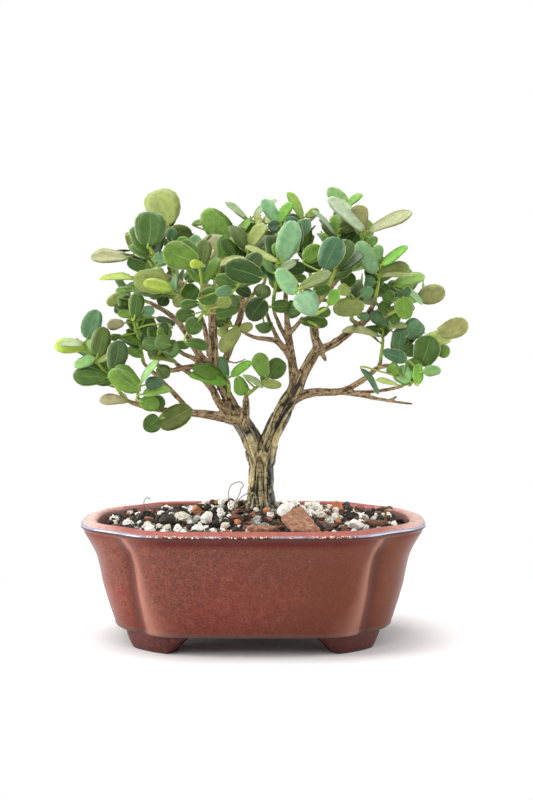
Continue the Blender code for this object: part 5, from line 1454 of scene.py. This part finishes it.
# leaves seen from the front, by shoot, as foot and tip (sideways, up), width, tone and layer towards the front;
# those seen broadside as middle (sideways, up), how wide and high they show, tone and layer
shownRows = {
    "far_left": [(-73.5, 131.5, -69, 144.5, 9, "blueDark", 0), (-73.5, 128, -88, 128.5, 7, "lime", 0),
        (-75, 129, -86, 129.5, 4.2, "grey", 1), (-69, 124, -66, 137, 9, "darkOlive", 1),
        (-70, 123, -79.5, 119.5, 5, "light", 1), (-69, 121.5, -62.5, 125, 3, "pale", 1),
        (-64.5, 114.5, -80, 115.5, 8.5, "dark", 1), (-62, 117, -59, 131, 9.5, "darkSheen", 2),
        (-56, 104, -68.5, 104.5, 5, "pink", 1)],
    "low_left": [(-50, 109, -64, 117, 9, "mid", 1), (-50, 110.5, -61, 119.5, 6, "mid", 0),
        (-49.5, 112, -42, 122, 3.4, "light", 1), (-49, 107, -36.5, 109, 5, "green", 2),
        (-44, 112, 8, 6, "darkTeal", 0), (-46, 103, 9, 7, "mid", 1), (-43, 103.5, 8, 7, "dark", -1)],
    "lowest": [(-27.5, 101, -42, 93, 10.5, "brownEdge", 1), (-45, 94, 9, 8, "dark", 0)],
    "left_middle": [(-52.5, 141, -51, 152, 7, "dark", 2), (-50, 129.5, -58.5, 133, 4, "mid", 0),
        (-53, 142.5, -60, 142.8, 4, "mid", 1), (-49, 124, -56, 127.5, 4.2, "mid", 0),
        (-43, 141, -34.5, 138, 3.6, "glossDark", 0), (-42.5, 138, -35.5, 136.4, 2.6, "olive", 1),
        (-61, 138, 8, 5, "pink", 0), (-47, 138, 8, 10, "dark", 0), (-46.5, 144, 6, 5, "blueRound", 0),
        (-61, 132.5, 6, 3, "dark", 0)],
    "left_inner": [(-46, 123, -33.5, 121, 2.8, "olive", 1), (-45.5, 129, 8, 7, "dark", 0),
        (-40, 129.5, 8, 7, "dark", 1), (-39, 134, 7, 6, "mid", 0), (-36.5, 127, 8, 8, "dark", 0),
        (-40, 117, 9, 5.5, "darkOlive", 0), (-42, 126.5, 10, 9, "darkOlive", -1), (-31.5, 129, 7, 4, "dark", -1)],
    "left_shade": [(-17, 142.5, -6.5, 144.5, 5.5, "dark", 0), (-30, 130, -20, 127.5, 5.2, "dark", -2),
        (-20, 150, 9, 8, "dark", 0), (-13, 152, 8, 5, "teal", 0), (-30, 142, 9, 6, "dark", 0),
        (-26, 137, 8, 8, "dark", 0), (-13, 147.5, 7, 6, "olive", 0), (-9, 147.5, 6, 8, "darkOlive", -1),
        (-28, 146.5, 9, 4.5, "dark", -1)],
    "left_lime": [(-37, 156, -53, 158, 11, "olive", 0), (-36, 153, -48.5, 156.5, 6, "lime", 2),
        (-34, 160, -35, 152, 3.5, "teal", 1), (-43, 152, 10, 5, "dark", -1), (-28, 152, 8, 9, "dark", 0),
        (-33, 148, 7, 5, "olive", 0), (-40, 148.5, 8, 4.5, "glossDark", -1), (-28, 159, 8, 4.5, "dark", -1)],
    "left_point": [(-53, 158, -68, 158, 3.5, "lime", 1), (-53, 153, -61, 153, 3, "mid", 0)],
    "left_high": [(-53, 170, -56, 179, 4, "pale", 1), (-54, 178, -43, 170, 2.6, "pale", 3),
        (-55, 168, -72, 168, 6.5, "olivePale", 1), (-44, 163, -56, 166, 7, "dark", -1), (-46, 165, 9, 8, "dark", 0)],
    "left_crest": [(-46.5, 172.5, -45.5, 188, 14.5, "dark", 2), (-40.5, 167, 6, 8, "blue", 1)],
    "left_top": [(-37.5, 182, -43.5, 198, 16, "olive", 0), (-27.5, 169, -25, 178, 6, "blue", 0),
        (-33, 163, -34, 172, 7, "mid", -1), (-32.5, 178, 11, 9, "darkOlive", 0), (-36, 178, 5, 6, "teal", 2),
        (-31, 175, 6, 5, "bright", 1)],
    "front_left_high": [(-24, 165, -39.5, 171, 12, "mid", 2), (-25, 164, 6, 4, "lime", 3)],
    "pink_old": [(-18, 162.5, -15, 178, 15, "pink", 1), (-22.5, 163, -17.5, 171, 3, "pale", 3),
        (-20, 162, -3.5, 167.5, 3, "pale", 4)],
    "left_centre_top": [(-27, 183, -20.5, 184, 3, "mid", 0), (-10, 175, -22, 189, 12, "green", 0)],
    "centre_top": [(-3, 185.5, -12.5, 192.5, 3, "grey", 0), (0, 186, 10.5, 193.5, 3, "grey", 0),
        (-1, 185, -10, 176, 4, "mid", 1), (2, 184, 4, 5, "olive", 1), (-5, 179, 7, 5, "dark", 1),
        (-1, 180, 5, 7, "dark", 0)],
    "centre_dark": [(5, 160, -1.5, 170, 4, "teal", 1), (-8, 168, -14, 176, 6, "dark", -1),
        (-2, 174, 11, 8, "dark", 0)],
    "centre_front": [(4, 158, -12.5, 163, 11, "glossDark", 1), (-7, 155, -17, 158, 7, "dark", 0)],
    "centre_tall": [(11, 165.5, -3.5, 172.5, 3.5, "pale", 2), (12.5, 166, 18, 183.5, 10.5, "blue", 2),
        (20, 172, 15.5, 185.5, 8, "darkTeal", 0), (18, 175, 24.5, 184, 6.5, "teal", 0),
        (10, 161, 19, 165.5, 4, "grey", 2), (10.5, 171, 5, 6, "mid", 0), (19, 163, 8, 6.5, "glossDark", -1),
        (20.5, 158.5, 6, 4, "dark", -1)],
    "centre_crown": [(11, 183, 4, 193.5, 6, "blue", 0), (11, 183, 17, 192, 5, "bright", 0),
        (6.5, 176, 7, 8, "darkOlive", 0), (9, 181.5, 5, 6, "darkTeal", 0), (6, 184.5, 3.5, 5, "pale", -1)],
    "right_lime_top": [(21.5, 185, 15, 197, 4.5, "brightLime", 1), (14, 179, 19.5, 187, 8, "dark", -1),
        (26, 187.5, 9, 4, "paleLime", 0), (22, 178, 8, 13, "dark", 0)],
    "right_slim": [(36, 178, 26, 188.5, 2.2, "paleGrey", 0), (38, 159.5, 47.5, 165, 3.5, "mid", 1),
        (42, 170, 37, 178, 7, "dark", -1), (42, 182, 10, 6, "darkOlive", 0), (44, 168, 6, 7, "mid", 0),
        (42, 158, 7, 7, "dark", -1), (26, 164, 9, 6.5, "glossDark", -1)],
    "right_top": [(42, 182, 33.5, 199, 8, "light", 0), (41, 190, 48, 196, 3.5, "bright", 1)],
    "right_long": [(49, 179.5, 33, 194, 7, "paleGrey", 1), (48.5, 181, 45, 190.5, 8, "oliveBrown", 0),
        (51, 179, 70, 187.5, 6, "olivePale", 1), (46, 172, 43, 180, 7, "dark", -1), (52.5, 175, 4, 6, "mid", 0)],
    "right_teal": [(31, 162, 37.5, 176, 11.5, "darkTeal", 1), (22, 166, 30, 172, 8, "mid", -1)],
    "right_high": [(54, 160.5, 46, 174.5, 8.5, "blue", 1), (53, 165, 56, 173, 6, "light", 0),
        (56.5, 164, 68, 172.5, 4.5, "bright", 1), (56, 161, 69, 163, 7, "olive", 0),
        (56.5, 159.2, 70.5, 159.4, 2.6, "pale", 2), (51.5, 157, 5, 6, "teal", 0)],
    "right_bright": [(62, 155.5, 75.8, 159.5, 6, "brightLime", 1), (66, 152.5, 8, 5, "teal", 0),
        (57, 154, 8, 5, "dark", 0), (61.5, 155, 5, 6, "dark", -1)],
    "right_round": [(66, 150, 67.5, 140, 8.5, "mid", 1), (60, 150, 7, 5, "dark", 0), (58, 146, 7, 5, "dark", -1),
        (62.5, 140.5, 6, 4.5, "dark", -1)],
    "right_edge": [(73, 150, 85, 153, 9, "oliveBrown", 0), (66, 155, 75, 147, 3, "blue", 2),
        (71, 150, 5, 5, "bright", 1)],
    "front_blue": [(19, 151, 10.5, 162, 8, "blue", 1), (20.5, 153.5, 34.5, 160.5, 6, "brownEdge", 1),
        (20.5, 152, 27, 142, 11, "blueRound", 2), (30, 153, 8, 5.5, "dark", -1)],
    "front_round": [(33, 146, 37, 153, 5, "bright", 1), (31, 143, 6.5, 5, "dark", -1)],
    "front_olive": [(49, 146, 35, 144.5, 8.5, "olive", 1), (50, 152, 7, 5, "teal", 0), (40, 153, 7, 5, "olive", 1),
        (46, 151.5, 8, 8, "glossDark", -1), (48.5, 141.5, 5.5, 4, "teal", 0)],
    "centre_shade": [(5, 149, -2, 140, 10, "glossDark", 1), (12, 146, 8, 6, "dark", 0), (18, 145, 7, 8, "dark", -1),
        (5, 136.5, 8, 5, "dark", -1), (4, 152.5, 8, 6.5, "darkOlive", -1), (-4.5, 152.5, 9, 5, "glossDark", -1)],
    "right_shade": [(21, 139.5, 33, 138.5, 6, "dark", 0)],
    "low_right": [(69, 113, 72, 123, 8, "dark", 0), (68, 122, 57, 126, 6, "darkTeal", 1),
        (75, 117, 83, 117.5, 5, "light", 1), (47.5, 118.5, 55.5, 107, 3, "teal", 0),
        (64, 111, 54, 113.2, 2.6, "paleLime", 1), (66, 115.5, 8, 9, "light", 1), (73, 116, 5, 9, "bright", 2),
        (62, 118, 6, 6, "mid", 0)],
    "right_dark": [(74, 119.5, 78.5, 133, 12, "dark", 1), (75, 131, 88, 132.5, 7, "paleLime", 0),
        (82, 134, 95, 138.5, 9, "oliveBrown", 1), (84, 126, 6, 6, "mid", 0), (69.5, 126.5, 5.5, 7, "dark", -1)],
    "right_fan_end": [(64.5, 126, 66, 137, 8, "teal", 0), (60, 136.5, 68, 137.5, 3, "pale", 1),
        (71, 136, 9, 10, "teal", 1)],
    "right_fan_rise": [(57, 136, 49, 136.2, 3.4, "dark", 0), (56, 133, 39, 135.2, 3.8, "paleOlive", 1),
        (59.5, 137.5, 52, 143.5, 6, "teal", 0)],
    "centre_low": [(-6, 136.5, -14.5, 126, 7, "pale", 0), (-3, 137, 6, 4.5, "pale", 0),
        (-13.5, 135, 6, 4.5, "pale", -1), (-14, 138.5, 5, 4, "dark", -1)],
    "stub_right": [(-7, 115, -4.5, 106.5, 6.5, "mid", 2), (-4, 115.5, 4.5, 110, 3, "grey", 3),
        (5.5, 114.5, 2, 125.5, 7.5, "mid", 1), (7, 114.5, 13, 122.5, 9, "dark", 0),
        (4, 112, 12.5, 111, 4.4, "olive", 2)],
    "stub_left": [(-12, 113, -27, 119.5, 7, "mid", 0), (-12, 112, -28.5, 116, 6, "bright", 1),
        (-11.5, 114.5, -15, 124, 4, "teal", 0), (-10, 115, -0.5, 121.5, 4.4, "bright", 1)],
    "left_tier": [(-61, 149, 10, 5.5, "olive", 1), (-57, 148, 7, 6, "dark", 0), (-60, 145, 5, 4, "teal", 0)],
}

# where the front view of the leaves is taken from: sideways, depth and up
eye = array([5.8, -785.0, 158.0])


def frontPlace(sideways, up, depth):
    # the point at this depth that the front view shows at (sideways, up) on the middle plane
    reach = (depth - eye[1]) / -eye[1]
    return array([eye[0] + (sideways - eye[0]) * reach, depth, eye[2] + (up - eye[2]) * reach])


def frontView(points):
    # where the front view shows these points on the middle plane
    reach = -eye[1] / (points[:, 1] - eye[1])
    return besides([eye[i] + (points[:, i] - eye[i]) * reach for i in (0, 2)])


def nearestOnShoot(shoot, sideways, up):
    # the stem's point that the front view shows nearest to a place
    share = linspace(0.1, 1, 24)[:, None]
    stem = array(shoot[2], float) * (1 - share) + array(shoot[3], float) * share
    return stem[np.hypot(*(frontView(stem) - [sideways, up]).T).argmin()]


def unit(vector):
    return vector / norm(vector)


def pointedFromFacing(shoot, leaf):
    # foot, tip and width of an oval leaf that grows away from the stem, drawn along the oval's longer side
    sideways, up, wide, high, tone, layer = leaf
    low, top = frontView(array([shoot[2], shoot[3]], float))
    run = top - low
    share = clip(((array([sideways, up]) - low) @ run) / (run @ run), 0, 1)
    out = array([sideways, up]) - (low + share * run)
    if norm(out) < 1.5:
        out = array([0.0, 1.0]) if high > wide else array([math.copysign(1.0, sideways - 5), 0.2])
    out = unit(out) * np.where([wide > high * 1.2, high > wide * 1.2], 1.6, 1.0)
    out = unit(out)
    half = array([wide, high]) / 2
    length = 1 / norm(out / half)
    width = 2 / norm(out[::-1] / half)
    return (sideways - out[0] * length, up - out[1] * length, sideways + out[0] * length,
            up + out[1] * length, width, tone, layer)


def placeShownLeaf(shoot, leaf):
    # the blade's foot, direction, upper side, length and width that give its outline in the front view
    sidewaysFoot, upFoot, sidewaysTip, upTip, wide, tone, layer = leaf
    stem = nearestOnShoot(shoot, sidewaysFoot, upFoot)
    depth = stem[1] - 1.0 - leafLook["layerStep"] * layer
    foot = frontPlace(sidewaysFoot, upFoot, depth)
    tip = frontPlace(sidewaysTip, upTip, depth)
    wide *= (depth - eye[1]) / -eye[1]
    shown = norm(tip - foot)
    length = max(shown, leafLook["leastSlim"] * wide)
    lean = math.sqrt(max(length**2 - shown**2, 0))
    steep = (tip[2] - foot[2]) / shown
    tip = frontPlace(sidewaysTip, upTip, depth + (lean if steep > 0 else -lean))
    ahead = unit(tip - foot)
    side = unit(np.cross(ahead, unit(eye - (foot + tip) / 2)))
    face = np.cross(side, ahead)
    width = max(wide, 0.52 * length)
    roll = math.acos(min(max(wide / width, 0.2), 1))
    turned = [face * math.cos(roll) + side * math.sin(roll) * way for way in (-1, 1)]
    face = max(turned, key=lambda normal: normal[2])
    return stem, foot, ahead, face, norm(tip - foot), width, tone


def bladeOutline():
    # rows from foot to tip, close together at both ends, and the leaf's half width at each
    rows = leafLook["rows"]
    u = (1 - cos(math.pi * arange(1, rows + 1) / (rows + 1))) / 2
    return u, (1 - abs(2 * u - 1) ** 2.15) ** (1 / 2.15)


def makeBlades(leaves, chance):
    # all the leaves of a shoot at once: upper and lower grids that share their edges, closed at foot and tip
    draw = chance.uniform
    look = leafLook
    foot, ahead, face = (array([leaf[i] for leaf in leaves]) for i in (1, 2, 3))
    length, width = (array([leaf[i] for leaf in leaves]) for i in (4, 5))
    tint = array([leafTones[leaf[6]] for leaf in leaves])
    count = len(leaves)
    tint = tint * draw(0.86, 1.14, (count, 1)) * draw(0.95, 1.05, (count, 3))
    side = np.cross(face, ahead)
    u, half = bladeOutline()
    v = linspace(-1, 1, look["columns"])
    upper = [(i, v[j], 1 - v[j] ** 2) for i in range(look["rows"]) for j in range(look["columns"])]
    lower = [(i, v[j], -(1 - v[j] ** 2)) for i in range(look["rows"]) for j in range(1, look["columns"] - 1)]
    places = upper + lower
    row = array([place[0] for place in places])
    across = array([place[1] for place in places])
    skin = array([place[2] for place in places])
    along = append(u[row], [0.0, 1.0])
    belly = 1 + draw(-0.16, 0.10, (count, 1)) * sin(math.tau * along)
    reach = append(half[row] * across, [0.0, 0.0]) * belly
    thick = append(skin, [0.0, 0.0])
    fold = look["fold"] * draw(0.3, 1.7, (count, 1))
    arch = look["arch"] * draw(-0.5, 1.1, (count, 1))
    ripple = 0.05 * sin(along * 7 + draw(0, 6, (count, 1))) * abs(reach)
    skew = 0.10 * draw(-1, 1, (count, 1)) * 4 * along * (1 - along)
    lift = width[:, None] / 2 * (fold * abs(reach) + ripple) + arch * length[:, None] * 4 * along * (1 - along)
    lift = lift - (fold * width[:, None] * 0.18) + thick * look["thickness"] / 2
    points = (
        foot[:, None] + ahead[:, None] * (length[:, None] * along)[..., None]
        + side[:, None] * (width[:, None] / 2 * (reach + skew))[..., None] + face[:, None] * lift[..., None]
    )
    each = len(along)
    columns, rows = look["columns"], look["rows"]
    grid = arange(rows * columns).reshape(rows, columns)
    inner = rows * columns + arange(rows * (columns - 2)).reshape(rows, columns - 2)
    under = join([grid[:, :1], inner, grid[:, -1:]], axis=1)
    start, end = each - 2, each - 1
    quads = join([
        np.stack([sheet[:-1, :-1], sheet[:-1, 1:], sheet[1:, 1:], sheet[1:, :-1]], axis=2).reshape(-1, 4)[:, ::way]
        for sheet, way in ((grid, -1), (under, 1))
    ])
    tris = join([
        besides([edge[:-1], edge[1:], full(columns - 1, pole)])[:, ::way]
        for edge, pole, way in ((grid[0], start, 1), (under[0], start, -1), (grid[-1], end, -1), (under[-1], end, 1))
    ])
    shift = (arange(count) * each)[:, None, None]
    uv = besides([along, append(across, [0.0, 0.0]) / 2 + 0.5])
    below = append((skin < 0).astype(float), [0.0, 0.0])
    return (
        points.reshape(-1, 3), (quads[None] + shift).reshape(-1, 4), (tris[None] + shift).reshape(-1, 3),
        np.tile(uv, (count, 1)), repeat(tint, each, axis=0), np.tile(below, count),
    )


def insideShown(places):
    # whether the front view's outline of the crown covers these points
    spot = frontView(places)
    start, end, half = shownOutline[:, 0:2], shownOutline[:, 2:4], shownOutline[:, 4]
    middle, run = (start + end) / 2, (end - start)
    size = norm(run, axis=1)
    run = run / size[:, None]
    offset = spot[:, None] - middle[None]
    along = np.einsum("ijk,jk->ij", offset, run) / (size / 2)
    across = (offset[..., 0] * -run[:, 1] + offset[..., 1] * run[:, 0]) / half
    middles, halves = array(crownMasses, float)[:, :2], array(crownMasses, float)[:, 2:]
    dense = (((spot[:, None] - middles[None]) / halves[None]) ** 2).sum(axis=2)
    return ((along**2 + across**2) < 1.1).any(axis=1) | (dense < 1).any(axis=1)


def hiddenLeaves(name, shoot, chance):
    # opposite pairs turned away from the front, kept where the front outline already covers them
    draw = chance.uniform
    base, tip = array(shoot[2], float), array(shoot[3], float)
    stem, length = unit(tip - base), shoot[4]
    square = unit(np.cross(stem, [0.31, 0.22, 0.93]))
    other = np.cross(stem, square)
    back = name.startswith("back")
    kept = []
    for _ in range(leafLook["hiddenTries"]):
        share, turn, spread = draw(0.1, 1.0), draw(0, math.tau), draw(0.5, 1.15)
        out = square * math.cos(turn) + other * math.sin(turn)
        ahead = unit(stem * math.cos(spread) + out * math.sin(spread) + [0, 0, 0.15])
        if not back and ahead[1] < 0.2:
            continue
        foot = base + (tip - base) * share
        start = foot + ahead * 1.6
        long = length * draw(0.66, 1.0)
        wide = long * draw(0.52, 0.74)
        face = unit(stem - ahead * (stem @ ahead) + [0, 0, 0.3])
        face = unit(face - ahead * (face @ ahead))
        side = np.cross(face, ahead)
        rim = start + array([ahead * long * a + side * wide / 2 * b for a, b in
                                ((1, 0), (0.75, 0.8), (0.75, -0.8), (0.4, 1), (0.4, -1))])
        if not insideShown(rim).all():
            continue
        if any(norm(start + ahead * long / 2 - k[1] - k[2] * k[4] / 2) < leafLook["leastApart"] for k in kept):
            continue
        # mostly dark tones: painted shade on the leaves deep in the crown
        tone = chance.choice(["dark", "glossDark", "mid", "teal", "green", "darkOlive", "blueDark", "olive", "light"],
                             p=[0.24, 0.18, 0.18, 0.10, 0.07, 0.12, 0.05, 0.03, 0.03])
        kept.append((foot, start, ahead, face, long, wide, str(tone)))
        if len(kept) == leafLook["hiddenEach"]:
            break
    return kept


def makeLeafMaterial():
    # midrib and rim are pale, side veins faint, the underside lighter and duller; tint comes from each leaf
    material, tree, shader, where = newMaterial("leathery_leaf")
    tint = layerNode(tree, "tint", "Color")
    blade, below = layerNode(tree, "blade"), layerNode(tree, "below")
    surface = addNode(tree, "UVMap", uv_map="surface").outputs[0]
    split = addNode(tree, "SeparateXYZ", {"Vector": surface})
    along, across = split.outputs[0], split.outputs[1]
    away = mathNode("ABSOLUTE", minus(across, 0.5))
    patch = noise(where, 420, 3, 0.6)
    pores = noise(where, 5200, 2, 0.5)
    rib = ramp(away, [(0, 1), (0.010, 0.8), (0.028, 0)])
    rib = times(rib, ramp(along, [(0, 1), (0.6, 0.75), (0.95, 0.1)]))
    rim = ramp(away, [(0.452, 0), (0.480, 0.8), (0.5, 1)])
    vein = mathNode("SINE", minus(times(along, 62.0), times(away, 46.0)))
    vein = ramp(vein, [(0.72, 0), (0.98, 1)])
    clouds = ramp(patch, [(0.3, (0.45, 0.45, 0.45)), (0.7, (1.45, 1.45, 1.35))])
    colour = mixColour(0.42, tint, clouds, "MULTIPLY")
    colour = mixColour(times(vein, 0.06), colour, (0.34, 0.46, 0.16))
    colour = mixColour(times(below, 0.42), colour, (0.30, 0.37, 0.19))
    colour = mixColour(times(rib, 0.34), colour, (0.34, 0.46, 0.16))
    colour = mixColour(times(rim, 0.65), colour, (0.42, 0.50, 0.14))
    colour = mixColour(blade, tint, colour)
    height = plus(times(pores, 0.25), minus(vein, rib))
    setInputs(shader, {
        "Base Color": colour, "Roughness": plus(0.40, times(below, 0.28)), "Specular IOR Level": 0.34,
        "Normal": bumpNode(height, 0.45, 0.00012),
    })
    return material


def makeShoot(name, shoot, material, chance):
    # green stem, leaf stalks, leaves and the bud at the tip, in one piece
    base, tip = array(shoot[2], float), array(shoot[3], float)
    leaves = [placeShownLeaf(shoot, leaf) for leaf in shownLeaves[name]]
    leaves += hiddenLeaves(name, shoot, chance)
    share = linspace(0, 1, 7)[:, None]
    bow = sin(share * math.pi) * array([0.5, 0.4, 0.3])
    tubes = [sweepTube(base * (1 - share) + tip * share + bow, linspace(0.82, 0.5, 7), 8)]
    colours = [leafTones["stem"]]
    for leaf in leaves:
        stem, foot, ahead = leaf[:3]
        reach = norm(foot - stem)
        middle = stem + (foot - stem) * 0.55 - ahead * min(reach * 0.18, 1.5)
        path = array([stem, middle, foot, foot + ahead * 1.1])
        curve, _ = smoothPath(besides([path, [0.5, 0.42, 0.40, 0.34]]), 1.1)
        tubes.append(sweepTube(curve[:, :3], curve[:, 3], 6))
        colours.append(array(leafTones["stem"]) * chance.uniform(0.6, 1.1))
    budPath = tip + unit(tip - base) * array([[0.0], [0.7], [1.3], [1.8]])
    tubes.append(sweepTube(budPath, array([0.5, 0.55, 0.42, 0.2]), 8))
    colours.append(leafTones["bud"])
    points, quads, tris = joinSolids(tubes)
    tint = join([np.tile(colour, (len(tube[0]), 1)) for colour, tube in zip(colours, tubes)])
    count = len(points)
    uv, below, blade = full((count, 2), 0.5), zeros(count), zeros(count)
    leafPoints, leafQuads, leafTris, leafUv, leafTint, leafBelow = makeBlades(leaves, chance)
    piece = makePiece(
        name + "_leaves", join([points, leafPoints]),
        join([quads, leafQuads + count]), join([tris, leafTris + count]), material,
        {
            "tint": join([tint, leafTint]),
            "blade": join([blade, np.ones(len(leafPoints))]),
            "below": join([below, leafBelow]),
        },
        join([uv, leafUv]),
    )
    keepPiece(piece, "leaf", name + "_shoot")
    return len(leaves)


shownLeaves = {
    name: [leaf if len(leaf) == 7 else pointedFromFacing(shoot, leaf) for leaf in shownRows.get(name, [])]
    for name, shoot in shoots.items()
}
shownOutline = array([(*leaf[:4], leaf[4] / 2) for group in shownLeaves.values() for leaf in group])
leafMaterial = makeLeafMaterial()
leafChance = np.random.default_rng(leafLook["seed"])
leafCount = sum(makeShoot(name, shoot, leafMaterial, leafChance) for name, shoot in shoots.items())
print("stage: leaves", leafCount)
